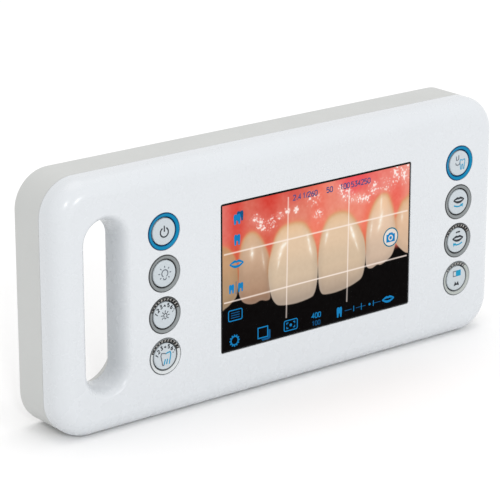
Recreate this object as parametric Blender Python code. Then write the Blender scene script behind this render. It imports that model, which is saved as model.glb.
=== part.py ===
"""Hand-held dental camera pad: two plastic shells, a touch display, two columns of keys and a rear camera.

The pad stands on its bottom edge. X runs to the right as seen from the front, Y runs into the pad, Z runs up.
Sizes are in millimetres about the pad's centre. make_object turns them into metres and lifts them onto z = 0.
"""

import math

import bmesh
import bpy
from mathutils import Vector

MM = 0.001
GAP = 0.3

# Housing
WIDTH = 250.0
HEIGHT = 115.0
DEPTH = 32.0
FRONT_Y = -DEPTH / 2
BACK_Y = DEPTH / 2
CORNER_R = 17.0
CROWN_R = 8.5
BACK_EDGE_R = 1.5
WALL = 2.5
SEAM_Y = FRONT_Y + 13.0
FRONT_RIM_Y = SEAM_Y - GAP / 2
REAR_RIM_Y = SEAM_Y + GAP / 2
FRONT_INNER_Y = FRONT_Y + WALL
BACK_INNER_Y = BACK_Y - WALL
OVERSHOOT = 1.0

# Handle slot
SLOT_X = -99.8
SLOT_Z = 0.5
SLOT_HALF_W = 8.4
SLOT_HALF_H = 36.8
SLOT_LIP_R = 4.8
RELIEF_X = -93.2
RELIEF_HALF_W = 17.2
RELIEF_HALF_H = 46.0
RELIEF_START = 0.8

# Display
DISPLAY_X = 16.0
WINDOW_W = 110.5
WINDOW_H = 69.0
WINDOW_R = 1.0
LEDGE = 0.9
REBATE_Y = FRONT_Y + 1.7
GLASS_T = 0.9
GLASS_Y = FRONT_Y + 0.2
SEAL_T = 0.2
LCD_W = 114.0
LCD_H = 74.0
LCD_T = 3.0
LCD_STEP = 1.4
TRAY_T = 0.8
TRAY_NOTCH_HALF_W = 10.0
TRAY_NOTCH_DEPTH = 2.0

# Keys
KEY_COLUMNS = {"left": -69.8, "right": 101.4}
KEY_PITCH = 18.9
KEYS_PER_COLUMN = 4
KEY_HOLE_R = 8.4
KEY_RING_R = 8.1
KEY_CAP_R = 6.0
KEY_FLANGE_R = 9.2
KEY_FLANGE_T = 0.8
KEY_TRAVEL = 0.8
KEY_BACK_Y = FRONT_Y + 4.7
RING_TOP_Y = FRONT_Y - 0.1
RING_EDGE = 0.2
CAP_TOP_Y = FRONT_Y - 0.25
CAP_CROWN_R = 4.2
CAP_CROWN_DROP = 0.1
CAP_EDGE_DROP = 0.45
CAP_LIP = 1.0
MAT_W = 17.6
MAT_H = 74.0
MAT_CORNER_R = 2.0
MAT_FRONT_Y = KEY_BACK_Y + KEY_TRAVEL + 2 * GAP
MAT_T = 0.9
DOME_TOP_R = 2.2
DOME_BASE_R = 3.4
DOME_SUNK = 0.1
KEY_BOARD_T = 1.2
KEY_BOARD_Y = MAT_FRONT_Y + MAT_T + GAP

# Boards and battery
MAIN_BOARD_X = (-51.0, 84.0)
MAIN_BOARD_H = 80.0
MAIN_BOARD_Y = -7.4
BOARD_T = 1.2
MAIN_BOARD_BACK = MAIN_BOARD_Y + BOARD_T
FLEX_T = 0.4
FLEX_ON_BOARD_Y = MAIN_BOARD_BACK + GAP + FLEX_T / 2
SHIELD_X = (34.0, 70.0)
SHIELD_H = 34.0
SHIELD_T = 2.5
SHIELD_WALL = 0.5
BATTERY_TRAY_X = (-71.5, -30.5)
BATTERY_TRAY_H = 63.0
BATTERY_TRAY_Y = -0.7
BATTERY_WALL = 1.0
BATTERY_LEAD_Z = 24.0
BATTERY_NOTCH_HALF_H = 4.0

# Camera and lights, on the axis of the display
CAMERA_BOARD_W = 28.0
CAMERA_BOARD_Y = -3.5
CAMERA_BOARD_BACK = CAMERA_BOARD_Y + 1.0
BRACKET_W = 30.0
BRACKET_H = 48.0
BRACKET_Y = -0.5
BRACKET_T = 1.5
BRACKET_CORNER_R = 3.0
BRACKET_POST_Z = 20.0
BARREL_R = 11.8
BARREL_BORE_R = 10.5
BARREL_END_Y = 11.0
CARRIER_R = BARREL_BORE_R - GAP
CARRIER_BORE_R = 8.0
CARRIER_Y = (1.5, 9.5)
LENS_R = CARRIER_BORE_R - GAP
WEB_Y = (CARRIER_Y[0] + 3.4, CARRIER_Y[0] + 4.4)
WEB_BORE_R = 6.6
RETAINER_BORE_R = 6.9
SENSOR_Y = CAMERA_BOARD_BACK + GAP
SENSOR_HALF_W = 6.0
SENSOR_HALF_H = 5.0
SENSOR_T = 1.2
FILTER_INSET = 0.5
FILTER_T = 0.6
BARREL_FOOT = 1.2
BARREL_FOOT_T = 1.4
BEZEL_R = 15.2
BEZEL_NECK_R = 12.2
BEZEL_STEP_Y = BACK_Y - 1.5
BEZEL_FACE_W = 1.2
BEZEL_SHELF_Y = BACK_Y - 2.3
BEZEL_SHELF_T = 1.8
BEZEL_SHELF_W = 0.8
COVER_R = BEZEL_NECK_R - 0.6
COVER_T = 1.0
LIGHT_OFFSET = 30.0
LIGHT_WINDOW_R = 9.0
LIGHT_OPENING_R = 8.2
LIGHT_REBATE_Y = BACK_Y - 1.7
LIGHT_WELL_R = 10.8
LIGHT_WELL_FLOOR_Y = BACK_INNER_Y + 0.2
LIGHT_BOARD_Y = 10.1
LIGHT_WELL_Y = LIGHT_BOARD_Y + BOARD_T + GAP
LIGHT_WELL_BORE_R = LIGHT_WELL_R - 1.2
LIGHT_BOARD_R = LIGHT_WELL_R - 0.2
LED_R = 3.0

# Fasteners, posts and socket
SCREWS = [(-112.5, 46.0), (-112.5, -46.0), (0.0, 49.0), (0.0, -49.0), (112.5, 46.0), (112.5, -46.0)]
SCREW_R = 1.4
SCREW_HEAD_R = 2.7
SCREW_HEAD_Y = 9.3
SCREW_HEAD_T = 2.0
SCREW_SOCKET_R = 1.2
SCREW_SOCKET_DEPTH = 1.2
SCREW_CHAMFER = 0.3
SCREW_TIP_Y = -11.0
FRONT_BOSS_R = 3.8
REAR_BOSS_R = 4.6
SCREW_SEAT_Y = SCREW_HEAD_Y - GAP
COUNTERBORE_R = SCREW_HEAD_R + 0.4
POST_R = 2.4
BOARD_POSTS = [(-47.0, 36.0), (-47.0, -36.0), (80.0, 36.0), (80.0, -36.0)]
KEY_BOARD_POST_Z = 35.0
SOCKET_Y = 5.0
SOCKET_Z = -30.0
SOCKET_X = (111.0, WIDTH / 2 - WALL - GAP)
SOCKET_HALF_T = 4.5
SOCKET_HALF_H = 4.0
SOCKET_NOSE_R = 2.9
SOCKET_BORE_R = 1.8
SOCKET_BORE_DEPTH = 8.0
SOCKET_LEAD_Z = -28.0
SOCKET_PIN_R = 0.6

SMOOTH_ANGLE = math.radians(32)
CORNER_SEGMENTS = 8
CROWN_SEGMENTS = 5
EDGE_SEGMENTS = 3
FINE_CORNER_SEGMENTS = 2
ROUND_SEGMENTS = 24
SMALL_SEGMENTS = 12

# Colour, roughness and metallic value of each material
MATERIALS = {
    "white_plastic": ((0.77, 0.80, 0.83), 0.35, 0.0),
    "grey_plastic": ((0.57, 0.60, 0.58), 0.45, 0.0),
    "blue_ring": ((0.01, 0.21, 0.42), 0.35, 0.0),
    "grey_ring": ((0.27, 0.29, 0.29), 0.40, 0.0),
    "pale_ring": ((0.52, 0.56, 0.58), 0.40, 0.0),
    "key_cap": ((0.65, 0.76, 0.82), 0.40, 0.0),
    "cover_glass": ((0.02, 0.02, 0.02), 0.08, 0.0),
    "black_rubber": ((0.02, 0.02, 0.02), 0.70, 0.0),
    "lcd": ((0.45, 0.12, 0.09), 0.30, 0.0),
    "steel": ((0.55, 0.55, 0.56), 0.35, 1.0),
    "silicone": ((0.60, 0.62, 0.62), 0.60, 0.0),
    "circuit_board": ((0.02, 0.17, 0.07), 0.50, 0.0),
    "flex_film": ((0.55, 0.24, 0.04), 0.40, 0.0),
    "black_plastic": ((0.03, 0.03, 0.03), 0.45, 0.0),
    "battery_wrap": ((0.06, 0.10, 0.22), 0.50, 0.0),
    "lens_glass": ((0.55, 0.62, 0.66), 0.03, 0.0),
    "sensor": ((0.10, 0.12, 0.16), 0.20, 0.0),
    "aluminium": ((0.62, 0.62, 0.63), 0.35, 1.0),
    "diffuser": ((0.86, 0.87, 0.86), 0.50, 0.0),
    "led": ((0.90, 0.80, 0.35), 0.30, 0.0),
}


def clear_scene():
    for obj in list(bpy.data.objects):
        bpy.data.objects.remove(obj, do_unlink=True)


def make_materials():
    made = {}
    for name, (colour, roughness, metallic) in MATERIALS.items():
        material = bpy.data.materials.new(name)
        material.use_nodes = True
        shader = material.node_tree.nodes["Principled BSDF"]
        shader.inputs["Base Color"].default_value = (*colour, 1.0)
        shader.inputs["Roughness"].default_value = roughness
        shader.inputs["Metallic"].default_value = metallic
        made[name] = material
    return made


def make_object(name, bm, material=None, origin=(0.0, 0.0, 0.0)):
    """An object from a mesh in millimetres, with its origin at the given point and the base on z = 0."""
    lift = Vector((0.0, 0.0, HEIGHT / 2))
    bmesh.ops.translate(bm, verts=bm.verts, vec=-Vector(origin))
    bmesh.ops.scale(bm, verts=bm.verts, vec=(MM, MM, MM))
    bmesh.ops.recalc_face_normals(bm, faces=bm.faces)
    mesh = bpy.data.meshes.new(name)
    bm.to_mesh(mesh)
    bm.free()
    mesh.shade_smooth()
    mesh.set_sharp_from_angle(angle=SMOOTH_ANGLE)
    if material:
        mesh.materials.append(material)
    obj = bpy.data.objects.new(name, mesh)
    obj.location = (Vector(origin) + lift) * MM
    bpy.context.scene.collection.objects.link(obj)
    return obj


def rounded_rectangle(x, z, width, height, radius, segments=CORNER_SEGMENTS):
    """Outline points (x, z) of a rectangle with round corners."""
    points = []
    for corner, (side_x, side_z) in enumerate([(1, 1), (-1, 1), (-1, -1), (1, -1)]):
        centre_x = x + side_x * (width / 2 - radius)
        centre_z = z + side_z * (height / 2 - radius)
        for step in range(segments + 1):
            angle = math.radians(90) * (corner + step / segments)
            points.append((centre_x + radius * math.cos(angle), centre_z + radius * math.sin(angle)))
    return points


def stadium(x, z, half_w, half_h, grow=0.0):
    """Outline of an upright slot with full-round ends."""
    half_w += grow
    half_h += grow
    points = []
    for end, side in enumerate([1, -1]):
        centre_z = z + side * (half_h - half_w)
        for step in range(2 * CORNER_SEGMENTS + 1):
            angle = math.radians(180) * (end + step / (2 * CORNER_SEGMENTS))
            points.append((x + half_w * math.cos(angle), centre_z + half_w * math.sin(angle)))
    return points


def at_depth(outline, y):
    return [(x, y, z) for x, z in outline]


def loft(rings):
    """A closed solid through rings of equal point count, with a flat cap at each end."""
    bm = bmesh.new()
    rows = [[bm.verts.new(point) for point in ring] for ring in rings]
    for row, following in zip(rows, rows[1:]):
        for index in range(len(row)):
            after = (index + 1) % len(row)
            bm.faces.new((row[index], row[after], following[after], following[index]))
    bm.faces.new(rows[0])
    bm.faces.new(rows[-1])
    return bm


def slab(outline, y_from, y_to):
    return loft([at_depth(outline, y_from), at_depth(outline, y_to)])


def box(x_range, y_range, z_range):
    corners = [(x_range[i], z_range[j]) for i, j in ((0, 0), (1, 0), (1, 1), (0, 1))]
    return slab(corners, *y_range)


def turned(profile, x, z, segments=ROUND_SEGMENTS):
    """A solid turned about the Y axis through (x, z) from (radius, y) points.

    A profile that starts and ends on the axis makes a plug, and any other makes a ring.
    """
    bm = bmesh.new()
    rows = []
    for radius, y in profile:
        if radius == 0:
            rows.append([bm.verts.new((x, y, z))] * segments)
            continue
        angles = [math.tau * step / segments for step in range(segments)]
        rows.append([bm.verts.new((x + radius * math.cos(a), y, z + radius * math.sin(a))) for a in angles])
    on_axis = profile[0][0] == 0 and profile[-1][0] == 0
    following_rows = rows[1:] if on_axis else rows[1:] + rows[:1]
    for row, following in zip(rows, following_rows):
        for index in range(segments):
            after = (index + 1) % segments
            corners = [row[index], row[after], following[after], following[index]]
            bm.faces.new(list(dict.fromkeys(corners)))
    return bm


def cylinder(x, z, radius, y_from, y_to, segments=ROUND_SEGMENTS):
    return turned([(0, y_from), (radius, y_from), (radius, y_to), (0, y_to)], x, z, segments)


def arc(centre_inset, centre_y, radius, segments, towards):
    """(inset, y) points of a quarter round from a side wall onto a face that looks along towards."""
    points = []
    for step in range(segments + 1):
        angle = math.radians(90) * step / segments
        inset = centre_inset - radius * math.cos(angle)
        points.append((inset, centre_y + towards * radius * math.sin(angle)))
    return points


def housing_ring(inset, y):
    outline = rounded_rectangle(0, 0, WIDTH - 2 * inset, HEIGHT - 2 * inset, CORNER_R - inset)
    return at_depth(outline, y)


def boolean(target, operation, parts):
    """Joins the parts to the target or cuts them from it, in the given order."""
    for number, part in enumerate(parts, 1):
        part.hide_render = True
        part.display_type = "WIRE"
        modifier = target.modifiers.new(f"{operation.lower()}_{number}", "BOOLEAN")
        modifier.operation = operation
        modifier.solver = "EXACT"
        modifier.object = part


def merged(name, meshes):
    """One helper object from several meshes that don't touch each other."""
    joined = bmesh.new()
    for bm in meshes:
        mesh = bpy.data.meshes.new(name)
        bmesh.ops.recalc_face_normals(bm, faces=bm.faces)
        bm.to_mesh(mesh)
        bm.free()
        joined.from_mesh(mesh)
        bpy.data.meshes.remove(mesh)
    return make_object(name, joined)


def slot_ring(y, grow=0.0):
    """The finger relief's outline at depth y. It opens out from the slot at the seam to the back face."""
    part = (y - REAR_RIM_Y) / (BACK_Y - REAR_RIM_Y)
    x = SLOT_X + (RELIEF_X - SLOT_X) * part
    half_w = SLOT_HALF_W + RELIEF_START + (RELIEF_HALF_W - SLOT_HALF_W - RELIEF_START) * part
    half_h = SLOT_HALF_H + RELIEF_START + (RELIEF_HALF_H - SLOT_HALF_H - RELIEF_START) * part
    return at_depth(stadium(x, SLOT_Z, half_w, half_h, grow), y)


def slot_cutter():
    """The slot's throat with a rounded lip at the front face."""
    rings = [at_depth(stadium(SLOT_X, SLOT_Z, SLOT_HALF_W, SLOT_HALF_H), FRONT_RIM_Y + OVERSHOOT)]
    lip_centre_y = FRONT_Y + SLOT_LIP_R - 0.02
    for step in range(CROWN_SEGMENTS + 1):
        angle = math.radians(90) * step / CROWN_SEGMENTS
        grow = SLOT_LIP_R * (1 - math.cos(angle))
        outline = stadium(SLOT_X, SLOT_Z, SLOT_HALF_W, SLOT_HALF_H, grow)
        rings.append(at_depth(outline, lip_centre_y - SLOT_LIP_R * math.sin(angle)))
    rings.append(at_depth(outline, FRONT_Y - OVERSHOOT))
    return make_object("front_slot_cut", loft(rings))


def window_outline(inset, radius):
    """The display window's outline, drawn in by the inset on every side."""
    size = (WINDOW_W - 2 * inset, WINDOW_H - 2 * inset)
    return rounded_rectangle(DISPLAY_X, 0, *size, radius, FINE_CORNER_SEGMENTS)


def key_heights():
    top = KEY_PITCH * (KEYS_PER_COLUMN - 1) / 2
    return [top - KEY_PITCH * number for number in range(KEYS_PER_COLUMN)]


def shell(inner, outer):
    """A hollow shell through (inset, y) stations: along the inside from its last one, then the outside."""
    return loft([housing_ring(*station) for station in inner[::-1] + outer])


def make_front_housing(materials):
    outer = [(0.0, FRONT_RIM_Y)] + arc(CROWN_R, FRONT_Y + CROWN_R, CROWN_R, CROWN_SEGMENTS, -1)
    inner = [(WALL, FRONT_RIM_Y)] + arc(CROWN_R, FRONT_Y + CROWN_R, CROWN_R - WALL, CROWN_SEGMENTS, -1)
    housing = make_object("front_housing", shell(inner, outer), materials["white_plastic"])

    inside = FRONT_Y + WALL / 2
    sleeve = stadium(SLOT_X, SLOT_Z, SLOT_HALF_W, SLOT_HALF_H, WALL)
    added = [slab(sleeve, inside, FRONT_RIM_Y)]
    added += [cylinder(x, z, FRONT_BOSS_R, inside, FRONT_RIM_Y - GAP / 2, SMALL_SEGMENTS) for x, z in SCREWS]
    added += [cylinder(x, z, POST_R, inside, MAIN_BOARD_Y - GAP, SMALL_SEGMENTS) for x, z in BOARD_POSTS]
    boolean(housing, "UNION", [merged("front_additions", added)])

    rebate = window_outline(0.0, WINDOW_R)
    opening = window_outline(LEDGE, WINDOW_R / 2)
    behind = FRONT_INNER_Y + OVERSHOOT
    window = [make_object("window_rebate_cut", slab(rebate, FRONT_Y - OVERSHOOT, REBATE_Y))]
    window += [make_object("window_opening_cut", slab(opening, REBATE_Y - OVERSHOOT, behind))]
    holes = [
        cylinder(x, z, KEY_HOLE_R, FRONT_Y - OVERSHOOT, behind)
        for x in KEY_COLUMNS.values()
        for z in key_heights()
    ]
    screw_y = (SCREW_TIP_Y - GAP, FRONT_RIM_Y + OVERSHOOT)
    holes += [cylinder(x, z, SCREW_R + GAP, *screw_y, SMALL_SEGMENTS) for x, z in SCREWS]
    boolean(housing, "DIFFERENCE", [slot_cutter(), *window, merged("front_holes", holes)])


def make_rear_housing(materials):
    outer = [(0.0, REAR_RIM_Y)] + arc(BACK_EDGE_R, BACK_Y - BACK_EDGE_R, BACK_EDGE_R, EDGE_SEGMENTS, 1)
    inner = [(WALL, REAR_RIM_Y), (WALL, BACK_INNER_Y)]
    housing = make_object("rear_housing", shell(inner, outer), materials["grey_plastic"])

    inside = BACK_Y - WALL / 2
    lights = [DISPLAY_X - LIGHT_OFFSET, DISPLAY_X + LIGHT_OFFSET]
    added = [loft([slot_ring(REAR_RIM_Y, WALL), slot_ring(inside, WALL)])]
    added += [cylinder(x, z, REAR_BOSS_R, REAR_RIM_Y + GAP / 2, inside, SMALL_SEGMENTS) for x, z in SCREWS]
    added += [cylinder(x, z, POST_R, MAIN_BOARD_BACK + GAP, inside, SMALL_SEGMENTS) for x, z in BOARD_POSTS]
    added += [
        cylinder(x, z, POST_R, KEY_BOARD_Y + KEY_BOARD_T + GAP, inside, SMALL_SEGMENTS)
        for x in KEY_COLUMNS.values()
        for z in (KEY_BOARD_POST_Z, -KEY_BOARD_POST_Z)
    ]
    added += [
        cylinder(DISPLAY_X, z, POST_R, BRACKET_Y + BRACKET_T + GAP, inside, SMALL_SEGMENTS)
        for z in (BRACKET_POST_Z, -BRACKET_POST_Z)
    ]
    added += [cylinder(x, 0, LIGHT_WELL_R, LIGHT_WELL_Y, inside) for x in lights]
    boolean(housing, "UNION", [merged("rear_additions", added)])

    relief = loft([slot_ring(REAR_RIM_Y - OVERSHOOT), slot_ring(BACK_Y + OVERSHOOT)])
    relief = make_object("relief_cut", relief)
    screw_hole = stepped([(SCREW_R + GAP, REAR_RIM_Y - OVERSHOOT), (COUNTERBORE_R, SCREW_SEAT_Y)])
    light_hole = stepped(
        [
            (LIGHT_WELL_BORE_R, LIGHT_WELL_Y - OVERSHOOT),
            (LIGHT_OPENING_R, LIGHT_WELL_FLOOR_Y),
            (LIGHT_WINDOW_R + GAP, LIGHT_REBATE_Y),
        ]
    )
    bezel_hole = stepped([(BEZEL_NECK_R + GAP, BACK_INNER_Y - OVERSHOOT), (BEZEL_R + GAP, BEZEL_STEP_Y)])
    holes = [turned(screw_hole, x, z, SMALL_SEGMENTS) for x, z in SCREWS]
    holes += [turned(light_hole, x, 0) for x in lights]
    holes += [turned(bezel_hole, DISPLAY_X, 0)]
    cuts = [relief, merged("rear_holes", holes), socket_hole_cutter()]
    boolean(housing, "DIFFERENCE", cuts)


def stepped(steps):
    """The profile of a hole out through the back face that changes radius at each (radius, y) step."""
    profile = [(0, steps[0][1])]
    ends = [y for _, y in steps[1:]] + [BACK_Y + OVERSHOOT]
    for (radius, y), end in zip(steps, ends):
        profile += [(radius, y), (radius, end)]
    return profile + [(0, ends[-1])]


def along_x(bm, x, y, z):
    """Turns a mesh made about the Y axis at the origin so that its axis runs along X through (x, y, z)."""
    for vert in bm.verts:
        across, along, up = vert.co
        vert.co = (x + along, y - across, z + up)
    return bm


def socket_hole_cutter():
    bm = cylinder(0, 0, SOCKET_NOSE_R + GAP, -WALL - OVERSHOOT, OVERSHOOT, SMALL_SEGMENTS)
    return make_object("socket_hole_cut", along_x(bm, WIDTH / 2, SOCKET_Y, SOCKET_Z))


def make_screws(materials):
    top_y = SCREW_HEAD_Y + SCREW_HEAD_T
    socket_y = top_y - SCREW_SOCKET_DEPTH
    profile = [
        (0, socket_y),
        (SCREW_SOCKET_R, socket_y),
        (SCREW_SOCKET_R, top_y),
        (SCREW_HEAD_R - SCREW_CHAMFER, top_y),
        (SCREW_HEAD_R, top_y - SCREW_CHAMFER),
        (SCREW_HEAD_R, SCREW_HEAD_Y),
        (SCREW_R, SCREW_HEAD_Y),
        (SCREW_R, SCREW_TIP_Y),
        (0, SCREW_TIP_Y),
    ]
    for number, (x, z) in enumerate(SCREWS, 1):
        bm = turned(profile, x, z, SMALL_SEGMENTS)
        make_object(f"housing_screw_{number}", bm, materials["steel"], (x, SCREW_HEAD_Y, z))


def make_display(materials):
    glass = window_outline(GAP, WINDOW_R - GAP)
    make_object("touch_glass", slab(glass, GLASS_Y, GLASS_Y + GLASS_T), materials["cover_glass"])

    seal_y = REBATE_Y - SEAL_T / 2
    seal = make_object("glass_seal", slab(glass, seal_y - SEAL_T, seal_y), materials["black_rubber"])
    hole = slab(window_outline(LEDGE + GAP, WINDOW_R / 2), seal_y - OVERSHOOT, seal_y + OVERSHOOT)
    boolean(seal, "DIFFERENCE", [make_object("seal_cut", hole)])

    lcd_y = FRONT_INNER_Y + GAP
    left = DISPLAY_X - LCD_W / 2
    right = DISPLAY_X + LCD_W / 2
    half = LCD_H / 2
    picture = window_outline(LEDGE + 1.5 * GAP, WINDOW_R / 2)
    case = rounded_rectangle(DISPLAY_X, 0, LCD_W, LCD_H, WINDOW_R, FINE_CORNER_SEGMENTS)
    steps = [(picture, lcd_y - LCD_STEP), (picture, lcd_y), (case, lcd_y), (case, lcd_y + LCD_T)]
    make_object("lcd_panel", loft([at_depth(*step) for step in steps]), materials["lcd"])

    edge = GAP + TRAY_T
    tray_back = lcd_y + LCD_T + edge
    tray = box((left - edge, right + edge), (lcd_y, tray_back), (-half - edge, half + edge))
    tray = make_object("display_tray", tray, materials["steel"])
    hollow_y = (lcd_y - OVERSHOOT, lcd_y + LCD_T + GAP)
    hollow = box((left - GAP, right + GAP), hollow_y, (-half - GAP, half + GAP))
    notch_x = (DISPLAY_X - TRAY_NOTCH_HALF_W, DISPLAY_X + TRAY_NOTCH_HALF_W)
    notch_z = (-half - edge - OVERSHOOT, -half + TRAY_NOTCH_DEPTH)
    notch = box(notch_x, (lcd_y - OVERSHOOT, tray_back + OVERSHOOT), notch_z)
    cuts = [make_object("tray_hollow_cut", hollow), make_object("tray_notch_cut", notch)]
    boolean(tray, "DIFFERENCE", cuts)


def ring_material(number):
    if number == 1:
        return "blue_ring"
    return "pale_ring" if number == KEYS_PER_COLUMN else "grey_ring"


def make_keys(materials):
    flange_y = FRONT_INNER_Y + GAP
    ring_inner_r = KEY_CAP_R + GAP
    ring = [
        (ring_inner_r, RING_TOP_Y),
        (KEY_RING_R - RING_EDGE, RING_TOP_Y),
        (KEY_RING_R, RING_TOP_Y + RING_EDGE),
        (KEY_RING_R, flange_y),
        (KEY_FLANGE_R, flange_y),
        (KEY_FLANGE_R, flange_y + KEY_FLANGE_T),
        (ring_inner_r, flange_y + KEY_FLANGE_T),
    ]
    cap_flange_y = flange_y + KEY_FLANGE_T + GAP
    cap = [
        (0, CAP_TOP_Y),
        (CAP_CROWN_R, CAP_TOP_Y + CAP_CROWN_DROP),
        (KEY_CAP_R, CAP_TOP_Y + CAP_EDGE_DROP),
        (KEY_CAP_R, cap_flange_y),
        (KEY_CAP_R + CAP_LIP, cap_flange_y),
        (KEY_CAP_R + CAP_LIP, KEY_BACK_Y),
        (0, KEY_BACK_Y),
    ]
    for side, x in KEY_COLUMNS.items():
        for number, z in enumerate(key_heights(), 1):
            origin = (x, FRONT_Y, z)
            material = materials[ring_material(number)]
            make_object(f"{side}_key_ring_{number}", turned(ring, x, z), material, origin)
            make_object(f"{side}_key_cap_{number}", turned(cap, x, z), materials["key_cap"], origin)


def make_key_boards(materials):
    dome_top = MAT_FRONT_Y - GAP
    dome_base = MAT_FRONT_Y + DOME_SUNK
    dome = [(0, dome_top), (DOME_TOP_R, dome_top), (DOME_BASE_R, dome_base), (0, dome_base)]
    for side, x in KEY_COLUMNS.items():
        outline = rounded_rectangle(x, 0, MAT_W, MAT_H, MAT_CORNER_R, FINE_CORNER_SEGMENTS)
        mat = slab(outline, MAT_FRONT_Y, MAT_FRONT_Y + MAT_T)
        mat = make_object(f"{side}_key_mat", mat, materials["silicone"])
        domes = [turned(dome, x, z, SMALL_SEGMENTS) for z in key_heights()]
        boolean(mat, "UNION", [merged(f"{side}_domes", domes)])
        board = slab(outline, KEY_BOARD_Y, KEY_BOARD_Y + KEY_BOARD_T)
        make_object(f"{side}_key_board", board, materials["circuit_board"])


def make_main_board(materials):
    half = MAIN_BOARD_H / 2
    board = box(MAIN_BOARD_X, (MAIN_BOARD_Y, MAIN_BOARD_BACK), (-half, half))
    make_object("main_board", board, materials["circuit_board"])

    half = SHIELD_H / 2
    front = MAIN_BOARD_BACK + GAP
    back = front + SHIELD_T
    shield = box(SHIELD_X, (front, back), (-half, half))
    shield = make_object("processor_shield", shield, materials["steel"])
    inner_x = (SHIELD_X[0] + SHIELD_WALL, SHIELD_X[1] - SHIELD_WALL)
    inner_half = half - SHIELD_WALL
    hollow = box(inner_x, (front - OVERSHOOT, back - SHIELD_WALL), (-inner_half, inner_half))
    boolean(shield, "DIFFERENCE", [make_object("shield_cut", hollow)])


def make_battery(materials):
    left, right = BATTERY_TRAY_X
    half = BATTERY_TRAY_H / 2
    back = BACK_INNER_Y - GAP
    tray = box(BATTERY_TRAY_X, (BATTERY_TRAY_Y, back), (-half, half))
    tray = make_object("battery_tray", tray, materials["black_plastic"])
    inner_x = (left + BATTERY_WALL, right - BATTERY_WALL)
    inner_half = half - BATTERY_WALL
    floor_y = BATTERY_TRAY_Y + BATTERY_WALL
    hollow = box(inner_x, (floor_y, back + OVERSHOOT), (-inner_half, inner_half))
    notch_x = (right - BATTERY_WALL - OVERSHOOT, right + OVERSHOOT)
    notch_z = (BATTERY_LEAD_Z - BATTERY_NOTCH_HALF_H, BATTERY_LEAD_Z + BATTERY_NOTCH_HALF_H)
    notch = box(notch_x, (floor_y + OVERSHOOT, back + OVERSHOOT), notch_z)
    cuts = [make_object("battery_hollow_cut", hollow), make_object("battery_notch_cut", notch)]
    boolean(tray, "DIFFERENCE", cuts)

    pack_x = (inner_x[0] + GAP, inner_x[1] - GAP)
    pack_z = (-inner_half + GAP, inner_half - GAP)
    pack = box(pack_x, (floor_y + GAP, back - 2 * GAP), pack_z)
    make_object("battery_pack", pack, materials["battery_wrap"])


def ribbon(path, width, centre, upright):
    """A flat cable of constant thickness along (across, y) points.

    The path runs in the XY plane, or in the ZY plane where upright is true.
    """
    middle = [Vector(point) for point in path]
    near, far = [], []
    for index, point in enumerate(middle):
        before = middle[max(index - 1, 0)]
        after = middle[min(index + 1, len(middle) - 1)]
        first = (point - before).normalized() if index else (after - point).normalized()
        second = (after - point).normalized() if index < len(middle) - 1 else first
        normal = Vector((-(first + second).y, (first + second).x)).normalized()
        stretch = FLEX_T / 2 / max(normal.dot(Vector((-first.y, first.x))), 0.5)
        near.append(point + normal * stretch)
        far.append(point - normal * stretch)
    outline = near + far[::-1]
    ends = (centre - width / 2, centre + width / 2)
    if upright:
        return loft([[(end, y, z) for z, y in outline] for end in ends])
    return loft([[(x, y, end) for x, y in outline] for end in ends])


def make_cables(materials):
    """Flat cables. Each path's points are where the cable bends on its way between two parts."""
    film = materials["flex_film"]
    over_key_board = KEY_BOARD_Y + KEY_BOARD_T + GAP + FLEX_T / 2
    for side, edge, out in (("left", MAIN_BOARD_X[0], -1), ("right", MAIN_BOARD_X[1], 1)):
        path = [
            (edge + out * 15, over_key_board),
            (edge + out * 7, over_key_board),
            (edge + out * 4, FLEX_ON_BOARD_Y),
            (edge - out * 5, FLEX_ON_BOARD_Y),
        ]
        make_object(f"{side}_key_cable", ribbon(path, 8.0, 10.0, False), film)

    under_camera = CAMERA_BOARD_Y - GAP - FLEX_T / 2
    left = DISPLAY_X - CAMERA_BOARD_W / 2
    path = [
        (left + 6, under_camera),
        (left - 4, under_camera),
        (left - 8, FLEX_ON_BOARD_Y),
        (left - 18, FLEX_ON_BOARD_Y),
    ]
    make_object("camera_cable", ribbon(path, 8.0, 0.0, False), film)

    lcd_middle_y = FRONT_INNER_Y + GAP + LCD_T / 2
    below = -LCD_H / 2 - 2.2
    before_board = MAIN_BOARD_Y - 2 * GAP
    path = [
        (-LCD_H / 2 - GAP, lcd_middle_y),
        (below, lcd_middle_y),
        (below, before_board),
        (below + 10, before_board),
    ]
    make_object("display_cable", ribbon(path, 16.0, DISPLAY_X, True), film)

    exit_x = BATTERY_TRAY_X[1] - BATTERY_WALL
    exit_y = BATTERY_TRAY_Y + 3.7
    path = [
        (exit_x, exit_y),
        (exit_x + 3.0, exit_y),
        (exit_x + 5.0, exit_y - 2),
        (exit_x + 5.0, FLEX_ON_BOARD_Y + 2),
        (exit_x + 7.0, FLEX_ON_BOARD_Y),
        (exit_x + 13.0, FLEX_ON_BOARD_Y),
    ]
    make_object("battery_cable", ribbon(path, 6.0, BATTERY_LEAD_Z, False), film)

    board_edge = MAIN_BOARD_X[1]
    path = [
        (SOCKET_X[0] - GAP, SOCKET_Y),
        (SOCKET_X[0] - 5.0, SOCKET_Y),
        (board_edge + 6.0, FLEX_ON_BOARD_Y),
        (board_edge - 5.0, FLEX_ON_BOARD_Y),
    ]
    make_object("socket_cable", ribbon(path, 5.0, SOCKET_LEAD_Z, False), film)


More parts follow.
